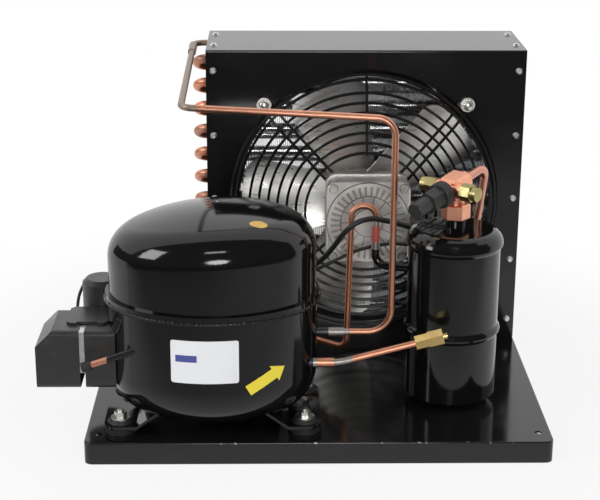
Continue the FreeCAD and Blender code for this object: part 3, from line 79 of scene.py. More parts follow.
# and gloss sees it grow from left to right in front, fade far out and stay bright behind
mirror_across = (-0.3, 0.4)
mirror_across_light = (0.25, 0.50)
mirror_far = (0.62, 0.95)
mirror_far_light = 0.12
mirror_depth = (-0.38, -0.10)
mirror_back_light = 0.92

# Coil
fin_pitch = 2.1 * MM
fin_sheet = 0.22 * MM
fin_waves = 8
fin_wave_height = 0.35 * MM
sleeve_radius = 5.3 * MM
sleeve_sides = 14
coil_front_row = 139.2 * MM
coil_back_row = 160.8 * MM
coil_top = 322.5 * MM
coil_pitch = 25.0 * MM
coil_levels = 12
coil_end = -110.0 * MM
bend_tube = 4.75 * MM
bend_steps = 14
bend_sides = 16

# Weld bead round the compressor's seam. Each wave of its ripple is (turn per step, start, share).
seam_middle = Vector((-0.098, -0.121, 0.142))
bead_radius = 1.55 * MM
bead_steps = 420
bead_sides = 8
bead_waves = ((1.9, 0.0, 0.5), (0.83, 1.0, 0.3), (3.7, 0.0, 0.2))
bead_swell = 0.22
bead_sway = 0.3
bead_sink = 0.3 * MM
bead_ray = 0.2

# Grooves in the motor cover's face and the depths of its sunk ring, where shade is painted
cover_middle = (52.5 * MM, 172.6 * MM)
cover_rings = (14.5 * MM, 27.5 * MM, 41.3 * MM)
cover_groove = 0.45 * MM
cover_spokes = 14
cover_screws = (34.95 * MM, 35.45 * MM)
cover_screw_ring = 4.2 * MM
cover_depth = 3.0 * MM
cover_fade = 1.0 * MM
cover_spoke_edge = (0.02, 0.06)
# Depths of the sunk ring that painted shade darkens
cover_shade_depths = (0.6 * MM, 2.3 * MM)
cover_shade_soft = 0.5 * MM

# Soft ends of the masks in the materials
mask_soft = 0.2 * MM
mark_soft = 0.6 * MM
speck_edge = (0.10, 0.16)

# The tray's front edge, where the coat is chipped
edge_height = (19.8 * MM, 21.2 * MM)
edge_front = (-185.5 * MM, -183.8 * MM)

# Joints and marks on the copper lines, as spans along the axes
discharge_joint = [("X", 9.0 * MM, 30.0 * MM), ("Z", 0.0, 120.0 * MM)]
discharge_start = [("X", -200.0 * MM, -112.0 * MM)]
suction_left = [("X", -7.0 * MM, -1.8 * MM)]
suction_right = [("X", 13.8 * MM, 30.4 * MM)]
liquid_leg = ("X", 53.0 * MM, 62.0 * MM)
liquid_pale = [liquid_leg, ("Z", 187.0 * MM, 197.0 * MM)]
liquid_red = [liquid_leg, ("Z", 171.5 * MM, 187.0 * MM)]
liquid_grey = [liquid_leg, ("Z", 150.0 * MM, 171.5 * MM)]
process_painted = [("X", -192.0 * MM, -100.0 * MM)]

# Round crowns on the heads of the guard's four bolts
bolt_middle = Vector((0.0525, 0.0648, 0.1726))
bolt_reach = 103.73 * MM
crown_radius = 4.9 * MM
crown_height = 2.4 * MM
crown_steps = 6
crown_sides = 24

# Plain stickers, in metres
sticker_lift = 0.25 * MM
sticker_step = 3.0 * MM
sticker_foot = 0.03 * MM
sticker_last = 0.2 * sticker_step
label_middle = Vector((-0.1027, -0.30, 0.1053))
label_width = 60.4 * MM
label_height = 40.6 * MM
label_corner = 2.2 * MM
field_middle = Vector((-0.1192, -0.30, 0.1085))
field_width = 19.0 * MM
field_height = 6.5 * MM
field_corner = 0.4 * MM
field_lift = 0.12 * MM
arrow_tail = Vector((-0.0645, -0.30, 0.0760))
arrow_tip = Vector((-0.0319, -0.30, 0.0937))
arrow_half = 5.3 * MM
arrow_head_half = 9.2 * MM
arrow_head_length = 10.5 * MM
oval_middle = Vector((-0.0550, -0.1593, 0.30))
oval_half_width = 8.0 * MM
oval_half_depth = 6.2 * MM
oval_sides = 32


# Node helpers

class Look:
    """A node tree being built: sockets are given by name, and a value is a number, a colour or a socket."""

    def __init__(self, name):
        self.material = bpy.data.materials.new(name)
        self.material.use_nodes = True
        self.tree = self.material.node_tree
        self.shader = self.tree.nodes["Principled BSDF"]
        self.place = self.add("ShaderNodeTexCoord").outputs["Object"]

    def add(self, kind, inputs=None, **settings):
        node = self.tree.nodes.new(kind)
        for key, value in settings.items():
            setattr(node, key, value)
        for key, value in (inputs or {}).items():
            self.put(node.inputs[key], value)
        return node

    def put(self, socket, value):
        if isinstance(value, bpy.types.NodeSocket):
            self.tree.links.new(value, socket)
        elif isinstance(value, tuple) and socket.type == "RGBA":
            socket.default_value = (*value, 1.0)
        else:
            socket.default_value = value

    def set(self, **values):
        for key, value in values.items():
            self.put(self.shader.inputs[key.replace("_", " ")], value)
        return self

    def noise(self, scale, detail=3.0, stretch=(1, 1, 1), rough=0.5):
        place = self.add("ShaderNodeMapping", {"Vector": self.place, "Scale": stretch}).outputs["Vector"]
        made = self.add("ShaderNodeTexNoise", {"Vector": place, "Scale": scale, "Detail": detail,
                                               "Roughness": rough})
        return made.outputs["Fac"]

    def ramp(self, value, low, high, to_low=0.0, to_high=1.0):
        made = self.add("ShaderNodeMapRange", {"Value": value, "From Min": low, "From Max": high,
                                               "To Min": to_low, "To Max": to_high})
        made.interpolation_type = "SMOOTHSTEP"
        return made.outputs["Result"]

    def mix(self, factor, a, b):
        made = self.add("ShaderNodeMix", data_type="RGBA")
        self.put(made.inputs["Factor"], factor)
        self.put(made.inputs["A"], a)
        self.put(made.inputs["B"], b)
        return made.outputs["Result"]

    def blend(self, factor, a, b):
        made = self.add("ShaderNodeMix", data_type="FLOAT")
        self.put(made.inputs["Factor"], factor)
        self.put(made.inputs["A"], a)
        self.put(made.inputs["B"], b)
        return made.outputs["Result"]

    def math(self, operation, a, b=0.0):
        made = self.add("ShaderNodeMath", operation=operation)
        self.put(made.inputs[0], a)
        self.put(made.inputs[1], b)
        return made.outputs["Value"]

    def axis(self, name):
        return self.add("ShaderNodeSeparateXYZ", {"Vector": self.place}).outputs[name]

    def specks(self, scale, share):
        """Small sparse spots, 1 inside a spot."""
        cells = self.add("ShaderNodeTexVoronoi", {"Vector": self.place, "Scale": scale})
        spot = self.ramp(cells.outputs["Distance"], *speck_edge, 1.0, 0.0)
        chosen = self.ramp(cells.outputs["Color"], 1.0 - share, 1.001 - share)
        return self.math("MULTIPLY", spot, chosen)

    def band(self, value, low, high, soft):
        """1 between low and high along a coordinate, with soft ends."""
        rise = self.ramp(value, low - soft, low + soft)
        fall = self.ramp(value, high - soft, high + soft, 1.0, 0.0)
        return self.math("MULTIPLY", rise, fall)

    def bump(self, height, strength, distance):
        made = self.add("ShaderNodeBump", {"Height": height, "Strength": strength, "Distance": distance})
        self.put(self.shader.inputs["Normal"], made.outputs["Normal"])
        return self


def dress(look, *names):
    for name in names:
        mesh = nodes[name].data
        mesh.materials.clear()
        mesh.materials.append(look.material)


# Materials

def gloss_paint(name, colour, roughness, peel):
    """Black gloss paint with a faint orange peel and a little dust."""
    look = Look(name)
    dust = look.specks(scale=420.0, share=0.05)
    smear = look.ramp(look.noise(14.0), 0.45, 0.75)
    look.set(Base_Color=look.mix(dust, colour, (0.10, 0.10, 0.09)))
    wear = look.blend(smear, roughness, roughness + 0.05)
    look.set(Roughness=look.blend(dust, wear, 0.6))
    look.bump(look.noise(170.0, 2.0), peel, 0.2 * MM)
    return look


def powder_coat(name):
    """Black powder coat: a fine even grain, slightly dusty, with faint smears."""
    look = Look(name)
    dust = look.specks(scale=300.0, share=0.06)
    smear = look.ramp(look.noise(9.0, 5.0), 0.5, 0.8)
    film = look.mix(smear, (0.0080, 0.0080, 0.0082), (0.015, 0.0145, 0.014))
    dusty = look.mix(dust, film, (0.16, 0.155, 0.145))
    edge = look.math("MULTIPLY", look.band(look.axis("Z"), *edge_height, mask_soft),
                     look.band(look.axis("Y"), *edge_front, mask_soft))
    chips = look.math("MULTIPLY", edge, look.ramp(look.noise(150.0, 3.0, rough=0.65), 0.66, 0.69))
    look.set(Base_Color=look.mix(chips, dusty, (0.42, 0.41, 0.39)))
    look.set(Roughness=look.blend(chips, look.blend(smear, 0.10, 0.19), 0.6))
    look.bump(look.noise(1100.0, 2.0), 0.10, 0.1 * MM)
    return look


def copper(name, marks=(), clean=(0.76, 0.36, 0.235), dull=(0.52, 0.28, 0.20), dull_from=0.5, roughness=0.36):
    """Bare copper gone dull in patches.

    A mark is ([(axis, low, high), ...] in metres, colour, roughness, metal).
    """
    look = Look(name)
    patches = look.ramp(look.noise(26.0, 4.0), dull_from, dull_from + 0.25)
    colour = look.mix(patches, clean, dull)
    rough = look.blend(patches, roughness, roughness + 0.14)
    metal = 1.0
    for spans, mark_colour, mark_rough, mark_metal in marks:
        inside = 1.0
        for axis, low, high in spans:
            inside = look.math("MULTIPLY", look.band(look.axis(axis), low, high, mark_soft), inside)
        colour = look.mix(inside, colour, mark_colour)
        rough = look.blend(inside, rough, mark_rough)
        metal = look.blend(inside, metal, mark_metal)
    look.set(Base_Color=colour, Roughness=rough, Metallic=metal)
    look.bump(look.noise(240.0, 3.0), 0.06, 0.1 * MM)
    return look


def metal(name, colour, dark, roughness, grain=300.0, stretch=(1, 1, 1), bump=0.15):
    """Bare metal with a grain and darker patches."""
    look = Look(name)
    patches = look.ramp(look.noise(grain * 0.15, 4.0), 0.4, 0.75)
    fine = look.noise(grain, 3.0, stretch)
    look.set(Base_Color=look.mix(patches, colour, dark), Metallic=1.0)
    look.set(Roughness=look.ramp(fine, 0.25, 0.75, roughness - 0.06, roughness + 0.10))
    look.bump(fine, bump, 0.1 * MM)
    return look


def cover_grooves(look):
    """1 in the grooves of the cover's face: rings, spokes between two of them and round the screws."""
    x = look.math("SUBTRACT", look.axis("X"), cover_middle[0])
    z = look.math("SUBTRACT", look.axis("Z"), cover_middle[1])

    def length(a, b):
        squares = look.math("ADD", look.math("MULTIPLY", a, a), look.math("MULTIPLY", b, b))
        return look.math("SQRT", squares)

    def groove(value, place):
        return look.band(value, place - cover_groove, place + cover_groove, mask_soft)

    radius = length(x, z)
    share = look.math("MULTIPLY", look.math("ARCTAN2", z, x), cover_spokes / (2 * math.pi))
    spoke = look.ramp(look.math("PINGPONG", share, 0.5), *cover_spoke_edge, 1.0, 0.0)
    found = look.math("MULTIPLY", spoke, look.band(radius, cover_rings[0], cover_rings[1], mask_soft))
    for ring in cover_rings:
        found = look.math("MAXIMUM", found, groove(radius, ring))
    beside = look.math("SUBTRACT", look.math("ABSOLUTE", x), cover_screws[0])
    above = look.math("SUBTRACT", look.math("ABSOLUTE", z), cover_screws[1])
    found = look.math("MAXIMUM", found, groove(length(beside, above), cover_screw_ring))
    front = look.ramp(look.axis("Y"), cover_depth, cover_depth + cover_fade, 1.0, 0.0)
    return look.math("MULTIPLY", found, front)


def motor_casting():
    """Die cast aluminium, with painted shade in the ring sunk into the cover's face and in its grooves."""
    look = Look("cast_aluminium")
    patches = look.ramp(look.noise(60.0, 4.0), 0.4, 0.75)
    # Painted shade: the cast is darker in the ring sunk into the face
    sunk_shade = look.band(look.axis("Y"), *cover_shade_depths, cover_shade_soft)
    clean = look.mix(patches, (0.84, 0.82, 0.79), (0.68, 0.66, 0.63))
    shaded_cast = look.mix(sunk_shade, clean, (0.46, 0.45, 0.42))
    # Painted shade: the grooves are darker still
    look.set(Base_Color=look.mix(cover_grooves(look), shaded_cast, (0.22, 0.21, 0.20)))
    fine = look.noise(420.0, 3.0)
    look.set(Metallic=1.0, Roughness=look.ramp(fine, 0.25, 0.75, 0.36, 0.50))
    look.bump(fine, 0.25, 0.2 * MM)
    return look


def plastic(name, colour, roughness, grain=900.0, bump=0.12, worn=(0.10, 0.10, 0.10)):
    """Moulded plastic with a fine grain and pale scuffs."""
    look = Look(name)
    scuffs = look.ramp(look.noise(60.0, 6.0, rough=0.7), 0.60, 0.80, 0.0, 0.35)
    look.set(Base_Color=look.mix(scuffs, colour, worn))
    look.set(Roughness=look.ramp(look.noise(40.0), 0.3, 0.7, roughness, roughness + 0.1))
    look.bump(look.noise(grain, 2.0), bump, 0.1 * MM)
    return look


def paper(name, colour, roughness=0.45):
    look = Look(name)
    tone = tuple(c * 0.93 for c in colour)
    look.set(Base_Color=look.mix(look.noise(90.0, 4.0), colour, tone), Roughness=roughness)
    look.bump(look.noise(500.0), 0.05, 0.05 * MM)
    return look


def dress_all():
    coat = powder_coat("powder_coat")
    dress(coat, "base_tray", "fan_shroud", "side_panel_left", "side_panel_right", "tube_plate")
    shell = gloss_paint("shell_paint", (0.0045, 0.0045, 0.0047), roughness=0.09, peel=0.05)
    dress(shell, "compressor_shell_lower", "compressor_shell_upper", "compressor_feet",
          "receiver_body", "receiver_foot")
    dress(gloss_paint("guard_coat", (0.006, 0.006, 0.006), roughness=0.16, peel=0.05), "fan_guard")
    zinc = metal("zinc_plate", (0.80, 0.79, 0.75), (0.66, 0.65, 0.61), roughness=0.32, grain=120.0, bump=0.04)
    dress(zinc, "shroud_screws", "guard_bolts", "compressor_bolts", "compressor_nuts", "fan_motor_screws")
    dress(metal("strap_steel", (0.80, 0.79, 0.77), (0.62, 0.61, 0.59), roughness=0.34), "cover_strap")
    grey = (0.42, 0.39, 0.37)
    dull = (0.36, 0.28, 0.23)
    pale = (0.62, 0.60, 0.57)
    red = (0.46, 0.09, 0.08)
    black = (0.010, 0.010, 0.010)
    dress(copper("coil_copper", clean=(0.78, 0.32, 0.19), dull_from=0.42), "condenser_tubes", "return_bends")
    marks = [(discharge_joint, grey, 0.42, 0.9), (discharge_start, dull, 0.45, 0.85)]
    dress(copper("discharge_copper", marks, dull_from=0.6), "discharge_line")
    marks = [(suction_left, grey, 0.4, 0.9), (suction_right, grey, 0.4, 0.9)]
    dress(copper("suction_copper", marks, clean=(0.78, 0.35, 0.22), dull_from=0.6), "suction_line")
    marks = [(liquid_pale, pale, 0.35, 1.0), (liquid_red, red, 0.35, 0.1), (liquid_grey, grey, 0.4, 0.9)]
    dress(copper("liquid_copper", marks, clean=(0.72, 0.31, 0.18), dull_from=0.5), "liquid_line")
    dress(copper("process_copper", [(process_painted, black, 0.25, 0.0)]), "process_tube")
    dress(copper("outlet_copper", clean=(0.74, 0.36, 0.26), dull_from=0.5), "outlet_pipe")
    dress(copper("valve_copper", clean=(1.0, 0.47, 0.31), dull=(0.86, 0.42, 0.28), roughness=0.32),
          "valve_body", "receiver_nut")
    dress(gloss_paint("stub_paint", (0.012, 0.012, 0.012), roughness=0.25, peel=0.2), "shell_stubs")
    dress(metal("brass", (0.76, 0.55, 0.22), (0.62, 0.44, 0.17), roughness=0.27, grain=90.0),
          "suction_nut", "suction_union")
    dress(metal("cap_brass", (0.50, 0.43, 0.19), (0.34, 0.30, 0.14), roughness=0.34), "port_caps")
    dress(motor_casting(), "fan_motor_cover", "fan_motor_body")
    blade = metal("blade_sheet", (0.94, 0.92, 0.88), (0.88, 0.86, 0.82), roughness=0.31, grain=60.0,
                  stretch=(1, 1, 6), bump=0.008)
    dress(blade.set(Metallic=0.88), "fan_blades", "fan_hub")
    steel = metal("bare_steel", (0.52, 0.52, 0.52), (0.36, 0.36, 0.36), roughness=0.32)
    dress(steel, "fan_motor_stator", "fan_motor_rotor", "fan_shaft", "comp_stator", "comp_rotor",
          "crankshaft", "piston", "connecting_rod", "support_springs", "valve_stem", "terminal_pins",
          "cylinder_head")
    dress(metal("sintered_bronze", (0.60, 0.40, 0.20), (0.42, 0.28, 0.15), roughness=0.42), "fan_bearings")
    dress(metal("cast_iron", (0.20, 0.20, 0.20), (0.12, 0.12, 0.12), roughness=0.55, grain=500.0, bump=0.6),
          "comp_block")
    dress(copper("winding_wire", clean=(0.60, 0.22, 0.10), roughness=0.35), "comp_windings")
    dress(plastic("box_plastic", (0.028, 0.027, 0.026), roughness=0.27),
          "terminal_base", "terminal_cover", "starter_lid", "start_capacitor")
    dress(plastic("cap_plastic", (0.022, 0.022, 0.021), roughness=0.42, grain=500.0, bump=0.3), "stem_cap")
    dress(plastic("lead_sheath", (0.012, 0.012, 0.012), roughness=0.36, grain=700.0, bump=0.1),
          "fan_lead", "earth_lead", "capacitor_lead")
    dress(plastic("rubber", (0.016, 0.016, 0.016), roughness=0.55, grain=400.0, bump=0.2),
          "grommets", "process_cap")


# New pieces

def new_piece(name, mesh, look):
    piece = bpy.data.objects.new(name, mesh)
    scene.collection.objects.link(piece)
    mesh.materials.append(look.material)
    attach(piece, "chassis")
    return piece


def mesh_from(name, build):
    made = bmesh.new()
    build(made)
    bmesh.ops.recalc_face_normals(made, faces=made.faces)
    mesh = bpy.data.meshes.new(name)
    made.to_mesh(mesh)
    made.free()
    return mesh


def bridge(made, rings, closed=False):
    """Smooth faces from each ring to the next one, and from the last to the first where closed."""
    following = rings[1:] + (rings[:1] if closed else [])
    for here, there in zip(rings, following):
        for k in range(len(here)):
            n = (k + 1) % len(here)
            made.faces.new((here[k], here[n], there[n], there[k])).smooth = True


def coil_fins():
    """The coil's thin corrugated fins, one closed sheet each."""
    low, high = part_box("condenser_fins")

    def build(made):
        count = int((high.x - low.x) / fin_pitch)
        start = (low.x + high.x - count * fin_pitch) / 2
        for i in range(count + 1):
            walls = []
            for side in (-0.5, 0.5):
                row = []
                for k in range(fin_waves + 1):
                    y = low.y + (high.y - low.y) * k / fin_waves
                    x = start + i * fin_pitch + side * fin_sheet + (k % 2) * fin_wave_height
                    x = min(max(x, low.x), high.x)
                    row.append((made.verts.new((x, y, low.z)), made.verts.new((x, y, high.z))))
                walls.append(row)
            left, right = walls
            for k in range(fin_waves):
                made.faces.new((left[k][0], left[k][1], left[k + 1][1], left[k + 1][0]))
                made.faces.new((right[k][0], right[k + 1][0], right[k + 1][1], right[k][1]))
                for end in (0, 1):
                    made.faces.new((left[k][end], left[k + 1][end], right[k + 1][end], right[k][end]))
            for k in (0, fin_waves):
                made.faces.new((left[k][0], right[k][0], right[k][1], left[k][1]))

    look = metal("fin_aluminium", (0.78, 0.79, 0.80), (0.60, 0.61, 0.62), roughness=0.26)
    piece = new_piece("coil_fins", mesh_from("coil_fins", build), look)
    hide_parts("condenser_fins")


def round_bends():
    """The coil's return bends at the left, each from a front tube to the back tube half a pitch below."""
    def build(made):
        for level in range(coil_levels - 1):
            front = Vector((coil_end, coil_front_row, coil_top - (level + 0.5) * coil_pitch))
            rear = Vector((coil_end, coil_back_row, coil_top - (level + 1) * coil_pitch))
            middle = (front + rear) / 2
            across = rear - front
            radius = across.length / 2
            across.normalize()
            out = Vector((-1, 0, 0))
            flat = across.cross(out)
            rings = []
            for i in range(bend_steps + 1):
                turn = math.pi * i / bend_steps
                spoke = out * math.sin(turn) - across * math.cos(turn)
                ring = []
                for k in range(bend_sides):
                    round_turn = 2 * math.pi * k / bend_sides
                    ring.append(made.verts.new(middle + spoke * (radius + bend_tube * math.cos(round_turn))
                                               + flat * (bend_tube * math.sin(round_turn))))
                rings.append(ring)
            bridge(made, rings)
            made.faces.new(rings[0])
            made.faces.new(rings[-1])

    look = copper("bend_copper", clean=(0.78, 0.32, 0.19), dull_from=0.42)
    piece = new_piece("round_bends", mesh_from("round_bends", build), look)
    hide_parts("return_bends")


def coil_sleeves():
    """The fins' collars, which wrap each tube from fin to fin."""
    low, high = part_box("condenser_fins")

    def build(made):
        for level in range(coil_levels):
            for row, y in enumerate((coil_front_row, coil_back_row)):
                z = coil_top - level * coil_pitch - (coil_pitch / 2 if row == 0 else 0)
                rings = []
                for x in (low.x, high.x):
                    ring = []
                    for k in range(sleeve_sides):
                        turn = 2 * math.pi * k / sleeve_sides
                        spot = (x, y + sleeve_radius * math.cos(turn), z + sleeve_radius * math.sin(turn))
                        ring.append(made.verts.new(spot))
                    rings.append(ring)
                bridge(made, rings)

    look = metal("sleeve_aluminium", (0.86, 0.86, 0.87), (0.70, 0.70, 0.72), roughness=0.22)
    new_piece("coil_sleeves", mesh_from("coil_sleeves", build), look)


def surface_of(*names):
    verts = []
    faces = []
    for name in names:
        mesh = nodes[name].data
        start = len(verts)
        verts.extend(v.co.copy() for v in mesh.vertices)
        faces.extend([start + i for i in p.vertices] for p in mesh.polygons)
    return BVHTree.FromPolygons(verts, faces)


def sticker(name, look, outline, across, along, towards, lift=sticker_lift):
    """A thin plate cut to outline and laid on the compressor's shell, cast from outside along towards."""
    skin = surface_of("compressor_shell_lower", "compressor_shell_upper")

    def build(made):
        made.faces.new([made.verts.new(p) for p in outline])
        for axis in (across, along):
            spans = [Vector(p).dot(axis) for p in outline]
            cut = min(spans) + sticker_step
            while cut < max(spans) - sticker_last:
                bmesh.ops.bisect_plane(made, geom=made.verts[:] + made.edges[:] + made.faces[:],
                                       plane_co=axis * cut, plane_no=axis)
                cut += sticker_step
        top = {}
        for v in list(made.verts):
            spot, normal = skin.ray_cast(v.co, towards)[:2]
            if normal.dot(towards) > 0:
                normal.negate()
            top[v] = (spot + normal * lift, spot + normal * sticker_foot)
        rim = [e for e in made.edges if e.is_boundary]
        for v, (high, low) in top.items():
            v.co = high
        foot = {}
        for e in rim:
            for v in e.verts:
                if v not in foot:
                    foot[v] = made.verts.new(top[v][1])
        for e in rim:
            a, b = e.verts
            made.faces.new((a, b, foot[b], foot[a]))

    new_piece(name, mesh_from(name, build), look)


def weld_bead():
    """The uneven weld round the shell's flange, laid on the surface that a ray from outside meets."""
    skin = surface_of("compressor_shell_lower")

    def build(made):
        rings = []
        for i in range(bead_steps):
            turn = 2 * math.pi * i / bead_steps
            way = Vector((math.cos(turn), math.sin(turn), 0))
            spot = skin.ray_cast(seam_middle + way * bead_ray, way * -1)[0]
            ripple = sum(math.sin(i * rate + shift) * part for rate, shift, part in bead_waves)
            radius = bead_radius * (1.0 + bead_swell * ripple)
            ring = []
            for k in range(bead_sides):
                side = 2 * math.pi * k / bead_sides
                ring.append(made.verts.new(spot + way * (radius * math.cos(side) - bead_sink)
                                           + Vector((0, 0, radius * (math.sin(side) + bead_sway * ripple)))))
            rings.append(ring)
        bridge(made, rings, closed=True)

    look = gloss_paint("bead_paint", (0.006, 0.006, 0.006), roughness=0.10, peel=0.3)
    new_piece("weld_bead", mesh_from("weld_bead", build), look)


def bolt_crowns():
    """A low dome on each head of the guard's bolts, closed by the face that lies on the head."""
    def build(made):
        for across, rise in ((-1, -1), (-1, 1), (1, -1), (1, 1)):
            middle = bolt_middle + Vector((across, 0, rise)) * bolt_reach
            rings = []
            for i in range(crown_steps):
                lean = math.pi / 2 * i / crown_steps
                radius = crown_radius * math.cos(lean)
                y = -crown_height * math.sin(lean)
                turns = [2 * math.pi * k / crown_sides for k in range(crown_sides)]
                rings.append([made.verts.new(middle + Vector((radius * math.cos(a), y, radius * math.sin(a))))
                              for a in turns])
            bridge(made, rings)
            tip = made.verts.new(middle - Vector((0, crown_height, 0)))
            for k in range(crown_sides):
                made.faces.new((rings[-1][k], rings[-1][(k + 1) % crown_sides], tip)).smooth = True
            made.faces.new(list(reversed(rings[0])))

    look = metal("crown_zinc", (0.80, 0.79, 0.75), (0.66, 0.65, 0.61), roughness=0.26, grain=120.0, bump=0.04)
    new_piece("bolt_crowns", mesh_from("bolt_crowns", build), look)


def rounded_plate(middle, across, along, width, height, corner, steps=6):
    points = []
    for turn, sx, sy in ((0, 1, 1), (90, -1, 1), (180, -1, -1), (270, 1, -1)):
        for i in range(steps + 1):
            a = math.radians(turn + 90 * i / steps)
            x = sx * (width / 2 - corner) + corner * math.cos(a)
            y = sy * (height / 2 - corner) + corner * math.sin(a)
            points.append(middle + across * x + along * y)
    return points


def stickers():
    east = Vector((1, 0, 0))
    north = Vector((0, 1, 0))
    upward = Vector((0, 0, 1))
    white = paper("label_paper", (0.80, 0.81, 0.83))
    plate = rounded_plate(label_middle, east, upward, label_width, label_height, label_corner)
    sticker("plain_label", white, plate, east, upward, north)
    field = paper("label_field", (0.07, 0.08, 0.30))
    plate = rounded_plate(field_middle, east, upward, field_width, field_height, field_corner)
    sticker("plain_field", field, plate, east, upward, north, lift=sticker_lift + field_lift)
    way = (arrow_tip - arrow_tail).normalized()
    side = way.cross(north).normalized()
    neck = arrow_tip - way * arrow_head_length
    outline = [arrow_tail + side * arrow_half, neck + side * arrow_half,
               neck + side * arrow_head_half, arrow_tip, neck - side * arrow_head_half,
               neck - side * arrow_half, arrow_tail - side * arrow_half]
    sticker("flow_arrow", paper("arrow_vinyl", (0.86, 0.70, 0.05), roughness=0.35), outline, east, upward,
            north)
    outline = []
    for i in range(oval_sides):
        a = 2 * math.pi * i / oval_sides
        outline.append(oval_middle + east * (oval_half_width * math.cos(a))
                       + north * (oval_half_depth * math.sin(a)))
    gold = metal("gold_foil", (0.80, 0.55, 0.16), (0.62, 0.42, 0.12), roughness=0.36)
    sticker("gold_oval", gold, outline, east, north, upward * -1)


# Studio

def ray_share(tree, *kinds):
    """1 for the named kinds of ray."""
    path = tree.nodes.new("ShaderNodeLightPath")
    total = path.outputs[kinds[0]]
    for kind in kinds[1:]:
        most = tree.nodes.new("ShaderNodeMath")
        most.operation = "MAXIMUM"
        tree.links.new(total, most.inputs[0])
        tree.links.new(path.outputs[kind], most.inputs[1])
        total = most.outputs["Value"]
    return total


def studio_world():
    world = bpy.data.worlds.new("studio")
    scene.world = world
    world.use_nodes = True
    tree = world.node_tree
    background = tree.nodes["Background"]
    seen = ray_share(tree, "Is Camera Ray", "Is Glossy Ray", "Is Transmission Ray")
    mix = tree.nodes.new("ShaderNodeMix")
    mix.data_type = "RGBA"
    tree.links.new(seen, mix.inputs["Factor"])
    mix.inputs["A"].default_value = (*world_tone, 1)
    mix.inputs["B"].default_value = (1, 1, 1, 1)
    tree.links.new(mix.outputs["Result"], background.inputs["Color"])


def studio_floor():
    """A white paper floor that keeps a soft shadow. It ends in front, out of the camera's view."""
    def build(made):
        corners = [(-floor_side, floor_front), (floor_side, floor_front), (floor_side, floor_back),
                   (-floor_side, floor_back)]
        made.faces.new([made.verts.new((x, y, -floor_drop)) for x, y in corners])

    mesh = mesh_from("floor", build)
    floor = bpy.data.objects.new("floor", mesh)
    scene.collection.objects.link(floor)
    look = Look("floor_paper")
    look.set(Base_Color=(0.82, 0.82, 0.82), Roughness=0.9)
    tree = look.tree
    distance = look.add("ShaderNodeVectorMath", {"Vector": look.place}, operation="LENGTH").outputs["Value"]
    front = look.ramp(look.axis("X"), *mirror_across, *mirror_across_light)
    front = look.math("MULTIPLY", front, look.ramp(distance, *mirror_far, 1.0, mirror_far_light))
    mirrored = look.blend(look.ramp(look.axis("Y"), *mirror_depth), front, mirror_back_light)
    gloss = ray_share(tree, "Is Glossy Ray")
    strength = look.blend(gloss, 1.0, mirrored)
    glow = look.add("ShaderNodeEmission", {"Color": (1.0, 1.0, 1.0), "Strength": strength})
    seen = ray_share(tree, "Is Camera Ray", "Is Glossy Ray", "Is Transmission Ray")
    share = look.math("MULTIPLY", seen, look.ramp(distance, *glow_rise, glow_near, 1.0))
    under = look.math("MULTIPLY", look.band(look.axis("X"), -under_tray_x, under_tray_x, under_tray_soft),
                      look.band(look.axis("Y"), -under_tray_y, under_tray_y, under_tray_soft))
    share = look.math("MULTIPLY", share, look.math("SUBTRACT", 1.0, under))
    mix = tree.nodes.new("ShaderNodeMixShader")
    tree.links.new(share, mix.inputs["Fac"])
    tree.links.new(look.shader.outputs["BSDF"], mix.inputs[1])
    tree.links.new(glow.outputs["Emission"], mix.inputs[2])
    tree.links.new(mix.outputs["Shader"], tree.nodes["Material Output"].inputs["Surface"])
    mesh.materials.append(look.material)


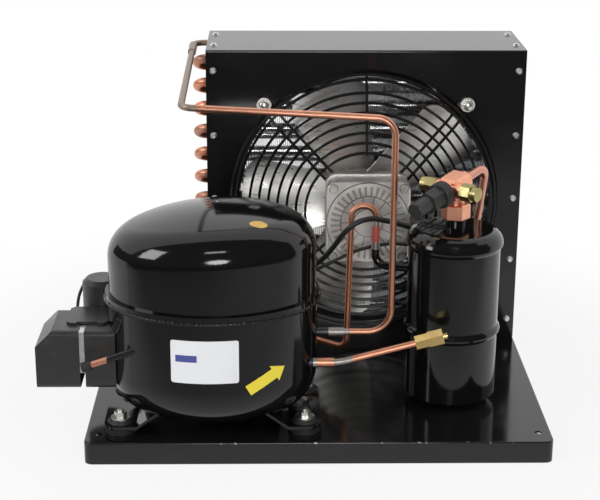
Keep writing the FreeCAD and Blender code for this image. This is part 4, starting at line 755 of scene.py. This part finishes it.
def dark_room():
    """The unlit part of the room in front of and over the object: only gloss and metal show it."""
    def build(made):
        def wall(*corners):
            made.faces.new([made.verts.new(p) for p in corners])

        x, near, far, high = room_side, room_back, room_front, room_height
        middle, low = room_side_back, low_wall_height
        wall((-x, far, 0), (x, far, 0), (x, far, high), (-x, far, high))
        wall((-x, far, high), (x, far, high), (x, near, high), (-x, near, high))
        for side in (-x, x):
            wall((side, far, 0), (side, middle, 0), (side, middle, high), (side, far, high))
        wall((-x, middle, 0), (-x, low_wall_back, 0), (-x, low_wall_back, low), (-x, middle, low))

    mesh = mesh_from("dark_room", build)
    room = bpy.data.objects.new("dark_room", mesh)
    scene.collection.objects.link(room)
    look = Look("room_dark")
    glow = look.add("ShaderNodeEmission", {"Color": (1.0, 1.0, 1.0), "Strength": room_light})
    look.tree.links.new(glow.outputs["Emission"], look.tree.nodes["Material Output"].inputs["Surface"])
    mesh.materials.append(look.material)
    room.visible_camera = False
    room.visible_diffuse = False
    room.visible_shadow = False
    room.visible_transmission = False


def lamp(name, place, target, size, power, glossy=True, shape="RECTANGLE", size_y=None):
    data = bpy.data.lights.new(name, "AREA")
    data.shape = shape
    data.size = size
    data.size_y = size_y or size
    data.energy = power
    made = bpy.data.objects.new(name, data)
    made.location = place
    made.rotation_euler = (Vector(target) - Vector(place)).to_track_quat("-Z", "Y").to_euler()
    made.visible_glossy = glossy
    made.visible_camera = False
    scene.collection.objects.link(made)


def studio_lamps():
    target = (0.0, 0.0, 0.12)
    shell = (-0.1, -0.15, 0.2)
    lamp("key_lamp", (0.02, -1.50, 0.40), shell, size=0.50, size_y=0.32, power=5.0, shape="ELLIPSE")
    lamp("window_lamp", (-1.97, -0.91, 1.20), shell, size=0.75, size_y=1.0, power=17.0)
    lamp("ceiling_lamp", (-0.06, -1.82, 1.68), shell, size=0.70, size_y=0.22, power=3.2)
    lamp("fill_lamp", (1.7, -1.3, 1.0), target, size=1.2, power=9.0, glossy=False)


def camera():
    cy, sy = math.cos(camera_yaw), math.sin(camera_yaw)
    cp, sp = math.cos(camera_pitch), math.sin(camera_pitch)
    forward = Vector((sy * cp, cy * cp, -sp))
    right = Vector((cy, -sy, 0))
    down = forward.cross(right)
    right_rolled = right * math.cos(camera_roll) + down * math.sin(camera_roll)
    down_rolled = down * math.cos(camera_roll) - right * math.sin(camera_roll)
    data = bpy.data.cameras.new("camera")
    data.lens = camera_lens
    data.sensor_width = camera_sensor
    made = bpy.data.objects.new("camera", data)
    turn = Matrix((right_rolled, -down_rolled, -forward)).transposed().to_4x4()
    made.matrix_world = Matrix.Translation(camera_place) @ turn
    scene.collection.objects.link(made)
    scene.camera = made


camera()
studio_world()
studio_floor()
dark_room()
studio_lamps()
dress_all()
coil_fins()
coil_sleeves()
round_bends()
weld_bead()
bolt_crowns()
stickers()

bpy.context.view_layer.update()
